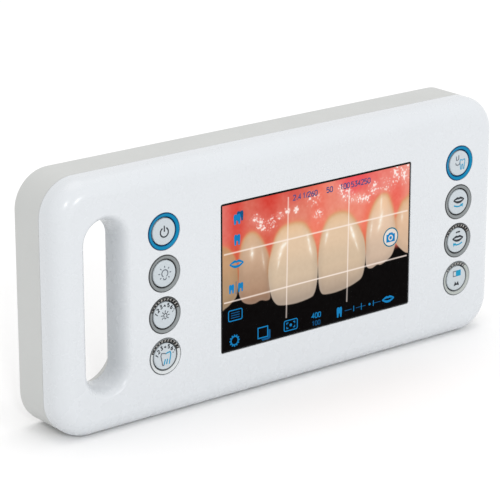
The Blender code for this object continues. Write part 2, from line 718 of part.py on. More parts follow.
def make_socket(materials):
    x_to = SOCKET_X[1]
    body_y = (SOCKET_Y - SOCKET_HALF_T, SOCKET_Y + SOCKET_HALF_T)
    body = box(SOCKET_X, body_y, (SOCKET_Z - SOCKET_HALF_H, SOCKET_Z + SOCKET_HALF_H))
    socket = make_object("charge_socket", body, materials["black_plastic"])
    nose_length = WIDTH / 2 - GAP - x_to
    floor = nose_length - SOCKET_BORE_DEPTH
    nose = [(0, -OVERSHOOT), (SOCKET_NOSE_R, -OVERSHOOT), (SOCKET_NOSE_R, nose_length), (0, nose_length)]
    bore = [
        (SOCKET_PIN_R, floor),
        (SOCKET_BORE_R, floor),
        (SOCKET_BORE_R, nose_length + OVERSHOOT),
        (SOCKET_PIN_R, nose_length + OVERSHOOT),
    ]
    place = (x_to, SOCKET_Y, SOCKET_Z)
    nose = along_x(turned(nose, 0, 0, SMALL_SEGMENTS), *place)
    bore = along_x(turned(bore, 0, 0, SMALL_SEGMENTS), *place)
    boolean(socket, "UNION", [make_object("nose_add", nose)])
    boolean(socket, "DIFFERENCE", [make_object("socket_bore_cut", bore)])


def make_camera(materials):
    half = CAMERA_BOARD_W / 2
    x_range = (DISPLAY_X - half, DISPLAY_X + half)
    board = box(x_range, (CAMERA_BOARD_Y, CAMERA_BOARD_BACK), (-half, half))
    make_object("camera_board", board, materials["circuit_board"])

    sensor_end = SENSOR_Y + SENSOR_T
    sensor_x = (DISPLAY_X - SENSOR_HALF_W, DISPLAY_X + SENSOR_HALF_W)
    sensor = box(sensor_x, (SENSOR_Y, sensor_end), (-SENSOR_HALF_H, SENSOR_HALF_H))
    make_object("image_sensor", sensor, materials["sensor"])
    half_w = SENSOR_HALF_W - FILTER_INSET
    half_h = SENSOR_HALF_H - FILTER_INSET
    filter_y = (sensor_end + GAP, sensor_end + GAP + FILTER_T)
    glass = box((DISPLAY_X - half_w, DISPLAY_X + half_w), filter_y, (-half_h, half_h))
    make_object("infrared_filter", glass, materials["lens_glass"])

    barrel = [
        (BARREL_R + BARREL_FOOT, SENSOR_Y),
        (BARREL_R + BARREL_FOOT, SENSOR_Y + BARREL_FOOT_T),
        (BARREL_R, SENSOR_Y + BARREL_FOOT_T),
        (BARREL_R, BARREL_END_Y),
        (BARREL_BORE_R, BARREL_END_Y),
        (BARREL_BORE_R, SENSOR_Y),
    ]
    make_object("lens_barrel", turned(barrel, DISPLAY_X, 0), materials["black_plastic"])

    plate = rounded_rectangle(DISPLAY_X, 0, BRACKET_W, BRACKET_H, BRACKET_CORNER_R, FINE_CORNER_SEGMENTS)
    bracket = slab(plate, BRACKET_Y, BRACKET_Y + BRACKET_T)
    bracket = make_object("camera_bracket", bracket, materials["aluminium"])
    hole_y = (BRACKET_Y - OVERSHOOT, BRACKET_Y + BRACKET_T + OVERSHOOT)
    hole = cylinder(DISPLAY_X, 0, BARREL_R + GAP, *hole_y)
    boolean(bracket, "DIFFERENCE", [make_object("bracket_cut", hole)])


def make_focus_group(materials):
    """The carrier that slides in the barrel, with the two lenses on either side of its web."""
    start, end = CARRIER_Y
    carrier = [
        (CARRIER_R, start),
        (CARRIER_R, end),
        (CARRIER_BORE_R, end),
        (CARRIER_BORE_R, WEB_Y[1]),
        (WEB_BORE_R, WEB_Y[1]),
        (WEB_BORE_R, WEB_Y[0]),
        (CARRIER_BORE_R, WEB_Y[0]),
        (CARRIER_BORE_R, start),
    ]
    origin = (DISPLAY_X, start, 0)
    make_object("focus_carrier", turned(carrier, DISPLAY_X, 0), materials["aluminium"], origin)

    rear_top = WEB_Y[0] - GAP
    rear = [(0, rear_top), (LENS_R, rear_top - 0.6), (LENS_R, rear_top - 1.8), (0, rear_top - 2.8)]
    make_object("rear_lens", turned(rear, DISPLAY_X, 0), materials["lens_glass"], origin)
    front_base = WEB_Y[1] + GAP
    front = [
        (0, front_base),
        (LENS_R, front_base + 0.4),
        (LENS_R, front_base + 1.6),
        (4.5, front_base + 2.4),
        (0, front_base + 2.8),
    ]
    make_object("front_lens", turned(front, DISPLAY_X, 0), materials["lens_glass"], origin)
    ring_y = front_base + 1.6 + 2 * GAP
    retainer = [(LENS_R, ring_y), (LENS_R, end), (RETAINER_BORE_R, end), (RETAINER_BORE_R, ring_y)]
    make_object("lens_retainer", turned(retainer, DISPLAY_X, 0), materials["black_plastic"], origin)


def make_lens_cover(materials):
    bezel = [
        (BEZEL_R, BEZEL_STEP_Y + GAP),
        (BEZEL_R, BACK_Y),
        (BEZEL_R - BEZEL_FACE_W, BACK_Y),
        (COVER_R + GAP, BACK_Y - BEZEL_SHELF_W),
        (COVER_R + GAP, BEZEL_SHELF_Y),
        (COVER_R - BEZEL_SHELF_W, BEZEL_SHELF_Y),
        (COVER_R - BEZEL_SHELF_W, BEZEL_SHELF_Y - BEZEL_SHELF_T),
        (BEZEL_NECK_R, BEZEL_SHELF_Y - BEZEL_SHELF_T),
        (BEZEL_NECK_R, BEZEL_STEP_Y + GAP),
    ]
    make_object("lens_bezel", turned(bezel, DISPLAY_X, 0), materials["black_plastic"])
    window_y = BEZEL_SHELF_Y + GAP
    window = cylinder(DISPLAY_X, 0, COVER_R, window_y, window_y + COVER_T)
    make_object("lens_window", window, materials["lens_glass"])


def make_lights(materials):
    led = [
        (0, LIGHT_WELL_Y),
        (LED_R, LIGHT_WELL_Y),
        (LED_R, LIGHT_WELL_Y + 0.7),
        (LED_R - 1.0, LIGHT_WELL_Y + 1.4),
        (0, LIGHT_WELL_Y + 1.7),
    ]
    board_y = (LIGHT_BOARD_Y, LIGHT_BOARD_Y + BOARD_T)
    for side, x in (("left", DISPLAY_X - LIGHT_OFFSET), ("right", DISPLAY_X + LIGHT_OFFSET)):
        board = cylinder(x, 0, LIGHT_BOARD_R, *board_y, SMALL_SEGMENTS)
        make_object(f"{side}_light_board", board, materials["aluminium"])
        make_object(f"{side}_light_led", turned(led, x, 0, SMALL_SEGMENTS), materials["led"])
        window = cylinder(x, 0, LIGHT_WINDOW_R, LIGHT_REBATE_Y + GAP, BACK_Y - 0.2)
        make_object(f"{side}_light_window", window, materials["diffuser"])


def main():
    clear_scene()
    materials = make_materials()
    make_front_housing(materials)
    make_rear_housing(materials)
    make_screws(materials)
    make_display(materials)
    make_keys(materials)
    make_key_boards(materials)
    make_main_board(materials)
    make_battery(materials)
    make_cables(materials)
    make_socket(materials)
    make_camera(materials)
    make_focus_group(materials)
    make_lens_cover(materials)
    make_lights(materials)


main()
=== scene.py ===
"""The looks of the dental camera pad: refined housings, keys, display, lens, inner parts and a plain studio.
"""

from math import cos, hypot, pi, radians, sin, sqrt, tau

import bmesh
import bpy
import numpy as np
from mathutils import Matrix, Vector


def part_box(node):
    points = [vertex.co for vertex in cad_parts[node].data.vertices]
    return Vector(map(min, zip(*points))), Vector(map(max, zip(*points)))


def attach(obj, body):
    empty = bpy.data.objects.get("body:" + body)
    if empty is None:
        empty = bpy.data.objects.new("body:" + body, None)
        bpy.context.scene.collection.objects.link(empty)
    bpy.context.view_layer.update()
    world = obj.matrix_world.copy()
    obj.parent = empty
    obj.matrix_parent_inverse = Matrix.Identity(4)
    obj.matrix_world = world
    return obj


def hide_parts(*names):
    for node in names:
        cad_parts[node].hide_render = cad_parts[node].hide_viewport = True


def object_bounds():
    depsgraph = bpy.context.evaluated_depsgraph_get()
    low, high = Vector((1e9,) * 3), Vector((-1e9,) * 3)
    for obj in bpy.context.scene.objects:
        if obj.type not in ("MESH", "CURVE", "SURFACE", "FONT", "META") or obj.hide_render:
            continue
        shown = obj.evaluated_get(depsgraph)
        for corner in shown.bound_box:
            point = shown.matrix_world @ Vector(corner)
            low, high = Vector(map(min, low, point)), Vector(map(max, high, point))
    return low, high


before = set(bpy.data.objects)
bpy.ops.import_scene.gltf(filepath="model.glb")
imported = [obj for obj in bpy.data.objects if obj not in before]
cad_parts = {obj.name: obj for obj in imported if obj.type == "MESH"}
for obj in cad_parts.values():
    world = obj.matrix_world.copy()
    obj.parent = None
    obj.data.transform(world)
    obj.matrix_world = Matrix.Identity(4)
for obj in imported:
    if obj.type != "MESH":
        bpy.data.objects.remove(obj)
cad_low, cad_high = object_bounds()

MM = 0.001
LIFT = Vector((0.0, 0.0, (cad_low.z + cad_high.z) / 2 / MM))
ROOT = "pad"
SIDES = ("left", "right")
SEGMENTS = 96
FINE = 16
SMOOTH_ANGLE = radians(34)

# Camera: its direction, focal length, distance from the pad and where the lens axis passes the pad's centre
AZIMUTH = radians(38.25)
PITCH = radians(18.01)
FOCAL_LENGTH = 177.53
DISTANCE = 1112.71
CENTRE_RIGHT = 8.30
CENTRE_UP = -1.91


# ---- outlines


def rounded_rectangle(x, z, width, height, radius, segments=FINE):
    points = []
    for corner, (side_x, side_z) in enumerate([(1, 1), (-1, 1), (-1, -1), (1, -1)]):
        centre_x = x + side_x * (width / 2 - radius)
        centre_z = z + side_z * (height / 2 - radius)
        for step in range(segments + 1):
            angle = radians(90) * (corner + step / segments)
            points.append((centre_x + radius * cos(angle), centre_z + radius * sin(angle)))
    return points


def stadium(x, z, half_w, half_h, grow=0.0, segments=2 * FINE):
    half_w += grow
    half_h += grow
    points = []
    for end, side in enumerate([1, -1]):
        centre_z = z + side * (half_h - half_w)
        for step in range(segments + 1):
            angle = radians(180) * (end + step / segments)
            points.append((x + half_w * cos(angle), centre_z + half_w * sin(angle)))
    return points


def at_depth(outline, y):
    return [(x, y, z) for x, z in outline]


def quarter(inset, y, radius, towards, segments=FINE):
    """(inset, y) points of a quarter round from a side wall onto a face that looks along towards."""
    points = []
    for step in range(segments + 1):
        angle = radians(90) * step / segments
        points.append((inset - radius * cos(angle), y + towards * radius * sin(angle)))
    return points


# ---- solids


def bridge(bm, row, following, material=0):
    """Faces between two rings of vertices. A ring on the axis repeats one vertex and gives triangles."""
    for index in range(len(row)):
        after = (index + 1) % len(row)
        corners = (row[index], row[after], following[after], following[index])
        bm.faces.new(list(dict.fromkeys(corners))).material_index = material


def loft(rings):
    bm = bmesh.new()
    rows = [[bm.verts.new(point) for point in ring] for ring in rings]
    for row, following in zip(rows, rows[1:]):
        bridge(bm, row, following)
    bm.faces.new(rows[0])
    bm.faces.new(rows[-1])
    return bm


def slab(outline, y_from, y_to):
    return loft([at_depth(outline, y_from), at_depth(outline, y_to)])


def circle(x, z, radius, segments=SEGMENTS):
    angles = [tau * step / segments for step in range(segments)]
    return [(x + radius * cos(angle), z + radius * sin(angle)) for angle in angles]


def turned(profile, x, z, segments=SEGMENTS, face_step=None):
    """A solid turned about Y through (x, z). With a face_step, the other steps take the second material."""
    bm = bmesh.new()
    rows = []
    for radius, y in profile:
        if radius:
            rows.append([bm.verts.new(point) for point in at_depth(circle(x, z, radius, segments), y)])
        else:
            rows.append([bm.verts.new((x, y, z))] * segments)
    on_axis = profile[0][0] == 0 and profile[-1][0] == 0
    following_rows = rows[1:] if on_axis else rows[1:] + rows[:1]
    for number, (row, following) in enumerate(zip(rows, following_rows)):
        bridge(bm, row, following, int(face_step not in (None, number)))
    return bm


def turned_to_side(profile, x, y, z):
    """A solid turned about a line along X. Its profile's depths are measured from x."""
    bm = turned(profile, 0, 0, 48)
    for vert in bm.verts:
        across, along, up = vert.co
        vert.co = (x + along, y - across, z + up)
    return bm


def cylinder(x, z, radius, y_from, y_to, segments=SEGMENTS):
    return turned([(0, y_from), (radius, y_from), (radius, y_to), (0, y_to)], x, z, segments)


def posts(places, radius, y_from, y_to):
    return [cylinder(x, z, radius, y_from, y_to, 32) for x, z in places]


def block(low, high, bevel):
    """A box with rounded edges."""
    bm = bmesh.new()
    bmesh.ops.create_cube(bm, size=1.0)
    size = Vector(high) - Vector(low)
    middle = (Vector(high) + Vector(low)) / 2
    for vert in bm.verts:
        vert.co = vert.co * size + middle
    bmesh.ops.bevel(bm, geom=bm.edges[:], offset=bevel, segments=3, profile=0.5, affect="EDGES")
    return bm


def joined(meshes):
    """One mesh from several, each turned outwards."""
    whole = bmesh.new()
    for bm in meshes:
        bmesh.ops.recalc_face_normals(bm, faces=bm.faces)
        mesh = bpy.data.meshes.new("part")
        bm.to_mesh(mesh)
        bm.free()
        whole.from_mesh(mesh)
        bpy.data.meshes.remove(mesh)
    return whole


def linked(name, data):
    obj = bpy.data.objects.new(name, data)
    bpy.context.scene.collection.objects.link(obj)
    return obj


def new_object(name, bm):
    for vert in bm.verts:
        vert.co = (vert.co + LIFT) * MM
    bmesh.ops.recalc_face_normals(bm, faces=bm.faces)
    mesh = bpy.data.meshes.new(name)
    bm.to_mesh(mesh)
    bm.free()
    return linked(name, mesh)


def carve(obj, bm, operation="DIFFERENCE"):
    """Applies one exact Boolean with a mesh that is then thrown away."""
    cutter = new_object("cutter", bm)
    modifier = obj.modifiers.new(operation, "BOOLEAN")
    modifier.operation = operation
    modifier.solver = "EXACT"
    modifier.object = cutter
    graph = bpy.context.evaluated_depsgraph_get()
    result = bpy.data.meshes.new_from_object(obj.evaluated_get(graph))
    obj.modifiers.clear()
    before = obj.data
    obj.data = result
    bpy.data.meshes.remove(before)
    bpy.data.objects.remove(cutter, do_unlink=True)


def finish_piece(obj, materials, slot=None, body=ROOT, replaces=None, weighted=True):
    """Smooth shading, materials by name and the frame's facts. The slot is not used."""
    for name in materials.split():
        obj.data.materials.append(MATERIALS[name])
    obj.data.shade_smooth()
    obj.data.set_sharp_from_angle(angle=SMOOTH_ANGLE)
    if weighted:
        obj.modifiers.new("normals", "WEIGHTED_NORMAL").keep_sharp = True
    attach(obj, body)
    if replaces:
        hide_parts(replaces)


def add_piece(name, bm, materials, slot=None, **facts):
    finish_piece(new_object(name, bm), materials, slot, **facts)


def node_box(node):
    """A CAD node's lowest and highest corners in millimetres about the pad's centre."""
    low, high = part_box(node)
    return low / MM - LIFT, high / MM - LIFT


def node_centre(node):
    low, high = node_box(node)
    return (low + high) / 2


# ---- materials


def set_inputs(node, **values):
    """Sets a node's inputs by name. A colour given as three shares gets its alpha."""
    for key, value in values.items():
        full = (*value, 1.0) if "Color" in key else value
        node.inputs[key.replace("_", " ")].default_value = full


def shader_of(name, roughness, metallic=0.0, specular=0.5):
    material = bpy.data.materials.new(name)
    material.use_nodes = True
    shader = material.node_tree.nodes["Principled BSDF"]
    set_inputs(shader, Roughness=roughness, Metallic=metallic, Specular_IOR_Level=specular)
    return material, shader


def add_node(material, kind, **inputs):
    node = material.node_tree.nodes.new(kind)
    set_inputs(node, **inputs)
    return node


def feed(node, name, value):
    """Links a value into a node's input."""
    node.id_data.links.new(value, node.inputs[name])


def object_noise(material, size, detail=2.0, stretch=None):
    """Noise with features of about the given size in millimetres, fixed to the piece."""
    place = add_node(material, "ShaderNodeTexCoord").outputs["Object"]
    if stretch:
        mapping = add_node(material, "ShaderNodeMapping", Scale=stretch)
        feed(mapping, "Vector", place)
        place = mapping.outputs["Vector"]
    noise = add_node(material, "ShaderNodeTexNoise", Scale=1 / (size * MM), Detail=detail)
    feed(noise, "Vector", place)
    return noise.outputs["Fac"]


def ranged(material, value, low, high, start=0.3, end=0.7):
    node = add_node(material, "ShaderNodeMapRange", From_Min=start, From_Max=end, To_Min=low, To_Max=high)
    feed(node, "Value", value)
    return node.outputs["Result"]


def colour_socket(sockets, name):
    return [entry for entry in sockets if entry.name == name and entry.type == "RGBA"][0]


def mixed(material, factor, first, second):
    node = add_node(material, "ShaderNodeMix")
    node.data_type = "RGBA"
    feed(node, "Factor", factor)
    for name, colour in (("A", first), ("B", second)):
        target = colour_socket(node.inputs, name)
        if isinstance(colour, tuple):
            target.default_value = (*colour, 1.0)
        else:
            node.id_data.links.new(colour, target)
    return colour_socket(node.outputs, "Result")


def scaled(colour, factor):
    return tuple(min(channel * factor, 1.0) for channel in colour)


def drifting(material, size, detail, colour, drift):
    """The colour, a little darker and lighter in slow clouds."""
    slow = ranged(material, object_noise(material, size, detail), 0.0, 1.0)
    return mixed(material, slow, scaled(colour, 1 - drift), scaled(colour, 1 + drift))


def feed_bump(material, shader, height, depth):
    bump = add_node(material, "ShaderNodeBump", Strength=1.0, Distance=depth * MM)
    feed(bump, "Height", height)
    feed(shader, "Normal", bump.outputs["Normal"])


def moulded(name, colour, roughness, grain, depth, drift=0.02, specular=0.5, fleck=None, cloud=25.0):
    """A moulded surface: slow colour drift, cloudy gloss and a fine grain in the normals."""
    material, shader = shader_of(name, roughness, 0.0, specular)
    colour_out = drifting(material, cloud, 3.0, colour, drift)
    if fleck:
        spots = ranged(material, object_noise(material, fleck[0]), 0.0, 1.0, 0.55, 0.62)
        colour_out = mixed(material, spots, colour_out, fleck[1])
    feed(shader, "Base Color", colour_out)
    gloss = object_noise(material, cloud / 4, 4.0)
    feed(shader, "Roughness", ranged(material, gloss, roughness * 0.88, roughness * 1.12))
    feed_bump(material, shader, object_noise(material, grain, 3.0), depth)
    return material


def brushed(name, colour, roughness, stretch):
    """Metal drawn in one direction: noise pulled out along one axis drives the colour, gloss and bump."""
    material, shader = shader_of(name, roughness, 1.0)
    streaks = object_noise(material, 0.25, 3.0, stretch)
    feed(shader, "Roughness", ranged(material, streaks, roughness * 0.75, roughness * 1.25))
    tone = ranged(material, streaks, 0.0, 1.0)
    feed(shader, "Base Color", mixed(material, tone, scaled(colour, 0.93), scaled(colour, 1.04)))
    feed_bump(material, shader, streaks, 0.003)
    return material


def clear_glass(name, colour):
    """Coated optical glass with the faintest cloud in its polish."""
    material, shader = shader_of(name, 0.0)
    set_inputs(shader, Base_Color=colour, Transmission_Weight=1.0, IOR=1.5)
    feed(shader, "Roughness", ranged(material, object_noise(material, 3.0, 3.0), 0.0, 0.02))
    return material


def lit(name):
    """A material under the smooth face of the display's glass that only lacks the colour of its light."""
    material, shader = shader_of(name, 0.15, 0.0, 0.01)
    set_inputs(shader, Emission_Strength=1.0, Base_Color=(0.001, 0.001, 0.001))
    feed(shader, "Roughness", ranged(material, object_noise(material, 6.0, 3.0), 0.12, 0.18))
    return material, shader


def glowing(name, colour):
    """A lit mark on the display."""
    material, shader = lit(name)
    feed(shader, "Emission Color", drifting(material, 9.0, 1.0, colour, 0.06))
    return material


def picture_material(name):
    """The live picture, which carries its colours on its points."""
    material, shader = lit(name)
    attribute = add_node(material, "ShaderNodeVertexColor")
    attribute.layer_name = "picture"
    feed(shader, "Emission Color", attribute.outputs["Color"])
    return material


def linear(display):
    """Linear shares from display values of 0 to 255."""
    share = np.asarray(display) / 255
    return np.where(share <= 0.04045, share / 12.92, ((share + 0.055) / 1.055) ** 2.4)


def srgb(red, green, blue):
    return tuple(linear((red, green, blue)).tolist())


WHITE = (0.600, 0.624, 0.648)
GREY = (0.500, 0.510, 0.500)

# Grain size and bump depth in millimetres, colour drift and specular level
RING_FINISH = (0.3, 0.003, 0.02, 0.3)
BLUE_FINISH = (0.3, 0.002, 0.02, 0.1)
PRINT_FINISH = (0.1, 0.002, 0.02, 0.2)
SCALE_FINISH = (0.2, 0.003, 0.02, 0.2)
# Colour, roughness and finish
MOULDED = {
    "white_plastic": (WHITE, 0.27, 0.5, 0.0012, 0.006),
    "grey_plastic": (GREY, 0.50, 0.35, 0.012, 0.015),
    # Each ring's edge colour is darker than its face: painted shade on the bevels and walls along the gaps
    # round the ring
    "blue_ring": (srgb(0, 120, 162), 0.34, *BLUE_FINISH),
    "blue_ring_edge": (srgb(0, 64, 104), 0.45, *BLUE_FINISH),
    "grey_ring": (srgb(126, 131, 132), 0.38, *RING_FINISH),
    "grey_ring_edge": (srgb(62, 64, 65), 0.45, *RING_FINISH),
    "pale_ring": (srgb(196, 200, 201), 0.38, *RING_FINISH),
    "pale_ring_edge": (srgb(104, 108, 110), 0.45, *RING_FINISH),
    "dull_ring": (srgb(166, 171, 167), 0.38, *RING_FINISH),
    "key_cap": (srgb(181, 189, 194), 0.38, 0.25, 0.003, 0.01),
    "dark_print": (srgb(40, 44, 50), 0.55, *PRINT_FINISH),
    "grey_print": (srgb(92, 97, 106), 0.55, *PRINT_FINISH),
    "blue_print": (srgb(0, 138, 176), 0.50, *PRINT_FINISH),
    "scale_dark": (srgb(28, 27, 27), 0.50, *SCALE_FINISH),
    "scale_light": (srgb(184, 182, 178), 0.50, *SCALE_FINISH),
    "display_black": ((0.005, 0.005, 0.005), 0.14, 4.0, 0.001, 0.02, 0.06),
    "black_rubber": ((0.02, 0.02, 0.02), 0.75, 0.3, 0.02),
    "lcd": ((0.30, 0.31, 0.33), 0.35, 0.5, 0.002),
    "silicone": ((0.60, 0.62, 0.62), 0.60, 0.6, 0.01),
    "circuit_board": ((0.02, 0.17, 0.07), 0.42, 0.5, 0.01, 0.12, 0.5, (2.5, (0.03, 0.24, 0.10))),
    "flex_film": ((0.55, 0.24, 0.04), 0.34, 0.8, 0.004, 0.08),
    "black_plastic": ((0.025, 0.025, 0.027), 0.42, 0.3, 0.010, 0.1),
    "battery_wrap": ((0.06, 0.10, 0.22), 0.42, 2.5, 0.03, 0.06),
    "sensor": ((0.05, 0.07, 0.10), 0.16, 0.2, 0.001, 0.02, 0.5, (0.6, (0.12, 0.07, 0.14))),
    "diffuser": ((0.64, 0.65, 0.63), 0.30, 0.8, 0.01),
    "led": ((0.88, 0.72, 0.22), 0.28, 0.3, 0.004, 0.06),
}
GLOWING = {
    "icon_blue": srgb(24, 128, 188),
    "icon_dim": srgb(20, 84, 132),
    "icon_pale": srgb(226, 216, 208),
    "icon_teal": srgb(34, 116, 140),
    "readout": srgb(78, 80, 128),
}
MATERIALS = {name: moulded(name, *values) for name, values in MOULDED.items()}
MATERIALS |= {name: glowing(name, colour) for name, colour in GLOWING.items()}
MATERIALS["steel"] = brushed("steel", (0.56, 0.56, 0.57), 0.34, (1.0, 1.0, 12.0))
MATERIALS["aluminium"] = brushed("aluminium", (0.66, 0.67, 0.68), 0.36, (10.0, 1.0, 1.0))
MATERIALS["lens_glass"] = clear_glass("lens_glass", (0.93, 0.96, 0.99))
MATERIALS["live_picture"] = picture_material("live_picture")


def dress_nodes():
    """Gives every CAD node the procedural material that goes with its slot."""
    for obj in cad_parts.values():
        for entry in obj.material_slots:
            name = entry.material.name.split(".")[0]
            entry.material = MATERIALS["display_black" if name == "cover_glass" else name]


# ---- housing

WALL = 2.5
GAP = 0.3
CORNER_R = 17.0
CROWN_R = 8.5
BACK_EDGE_R = 1.5
RIM = 0.15
OVER = 1.0
LIP = 0.3
SLOT = (-99.8, 0.5, 8.4, 36.8)
SLOT_LIP_W = 4.8
SLOT_LIP_DEPTH = 11.5
RELIEF = (-93.2, 0.5, 17.2, 46.0)
RELIEF_START = 0.8
RELIEF_LIP_R = 2.2
SCREWS = [f"housing_screw_{number}" for number in range(1, 7)]
SCREW_PLACES = [(node_centre(screw).x, node_centre(screw).z) for screw in SCREWS]
HOUSING_LOW, HOUSING_HIGH = node_box("front_housing")
REAR_HIGH = node_box("rear_housing")[1]
FRONT_Y = HOUSING_LOW.y
BACK_Y = REAR_HIGH.y
FRONT_RIM_Y = HOUSING_HIGH.y
SEAM = 0.1
REAR_RIM_Y = FRONT_RIM_Y + SEAM
DISPLAY = node_centre("touch_glass")
WINDOW_W = 110.5
WINDOW_H = 69.0
KEY_HOLE_R = 8.4
WINDOW_REBATE = 1.7
WINDOW_LEDGE = 0.9
SCREW_HOLE_R = 1.7
SCREW_HOLE_END_Y = -11.3
FRONT_SCREW_POST_R = 3.8
REAR_SCREW_POST_R = 4.6
BOARD_POSTS = [(-47.0, 36.0), (-47.0, -36.0), (80.0, 36.0), (80.0, -36.0)]
KEY_BOARD_POST_Z = 35.0
BRACKET_POST_Z = 20.0
POST_R = 2.4
# Where the posts end, at the front and back of the main board and behind the key boards and the bracket
MAIN_FRONT_Y, MAIN_BACK_Y, KEY_BOARD_BACK_Y, BRACKET_BACK_Y = -7.7, -5.9, -7.2, 1.3
LIGHT_POST_R = 10.8
LIGHT_WELL_Y = 11.6


def housing_ring(inset, y):
    width = HOUSING_HIGH.x - HOUSING_LOW.x - 2 * inset
    height = HOUSING_HIGH.z - HOUSING_LOW.z - 2 * inset
    return at_depth(rounded_rectangle(0, 0, width, height, CORNER_R - inset, 24), y)


def shell(outer, inner):
    return loft([housing_ring(*station) for station in inner[::-1] + outer])


def rim(y, towards):
    """The small chamfer along the seam, which the housing leaves in the direction of towards."""
    return [(RIM, y), (RIM / 3, y + towards * RIM / 3), (0.0, y + towards * RIM)]


def flared(outline_of, width, inside_y, segments=FINE, depth=None):
    """A cutter through the front face with a rounded edge there, as deep as wide unless depth says otherwise.

    outline_of(grow) gives the outline grown by that much.
    """
    depth = depth or width
    centre_y = FRONT_Y + (depth - depth * 0.004)
    rings = [at_depth(outline_of(0.0), inside_y)]
    for step in range(segments + 1):
        angle = radians(90) * step / segments
        rings.append(at_depth(outline_of(width * (1 - cos(angle))), centre_y - depth * sin(angle)))
    rings.append(at_depth(outline_of(width), FRONT_Y - OVER))
    return loft(rings)


def relief_ring(y, grow=0.0):
    """The finger relief opens from the slot at the seam to its full size at the back face."""
    part = (y - REAR_RIM_Y) / (BACK_Y - REAR_RIM_Y)
    start = (SLOT[0], SLOT[1], SLOT[2] + RELIEF_START, SLOT[3] + RELIEF_START)
    x, z, half_w, half_h = (a + (b - a) * part for a, b in zip(start, RELIEF))
    return at_depth(stadium(x, z, half_w, half_h, grow), y)


def make_front_shell():
    outer = rim(FRONT_RIM_Y, -1) + quarter(CROWN_R, FRONT_Y + CROWN_R, CROWN_R, -1, 20)
    inner = [(WALL, FRONT_RIM_Y)] + quarter(CROWN_R, FRONT_Y + CROWN_R, CROWN_R - WALL, -1, 8)
    obj = new_object("front_shell", shell(outer, inner))
    inside = FRONT_Y + WALL / 2
    added = [slab(stadium(*SLOT, WALL), inside, FRONT_RIM_Y)]
    added += posts(SCREW_PLACES, FRONT_SCREW_POST_R, inside, FRONT_RIM_Y - GAP / 2)
    added += posts(BOARD_POSTS, POST_R, inside, MAIN_FRONT_Y)
    carve(obj, joined(added), "UNION")
    inner_y = FRONT_Y + WALL + OVER
    past_rim = FRONT_RIM_Y + OVER
    carve(obj, flared(lambda grow: stadium(*SLOT, grow), SLOT_LIP_W, past_rim, 20, SLOT_LIP_DEPTH))
    rebate_y = FRONT_Y + WINDOW_REBATE

    def window(grow):
        return rounded_rectangle(DISPLAY.x, 0, WINDOW_W + 2 * grow, WINDOW_H + 2 * grow, 1.0 + grow, 6)

    carve(obj, flared(window, 0.2, rebate_y, 6))
    opening = rounded_rectangle(DISPLAY.x, 0, WINDOW_W - 2 * WINDOW_LEDGE, WINDOW_H - 2 * WINDOW_LEDGE, 0.5, 4)
    cuts = [slab(opening, rebate_y - OVER / 2, inner_y)]
    for x, z in KEY_PLACES:
        cuts.append(flared(lambda grow: circle(x, z, KEY_HOLE_R + grow), LIP, inner_y, 6))
    cuts += posts(SCREW_PLACES, SCREW_HOLE_R, SCREW_HOLE_END_Y, past_rim)
    carve(obj, joined(cuts))
    finish_piece(obj, "white_plastic", replaces="front_housing")


def stepped(steps, edge=0.25):
    """The profile of a hole out through the back face, chamfered there. A step is (radius, y)."""
    profile = [(0, steps[0][1])]
    for number, (radius, y) in enumerate(steps):
        end = steps[number + 1][1] if number + 1 < len(steps) else BACK_Y - edge
        profile += [(radius, y), (radius, end)]
    mouth = steps[-1][0] + edge + 0.02
    return profile + [(mouth, BACK_Y + 0.02), (mouth, BACK_Y + OVER), (0, BACK_Y + OVER)]


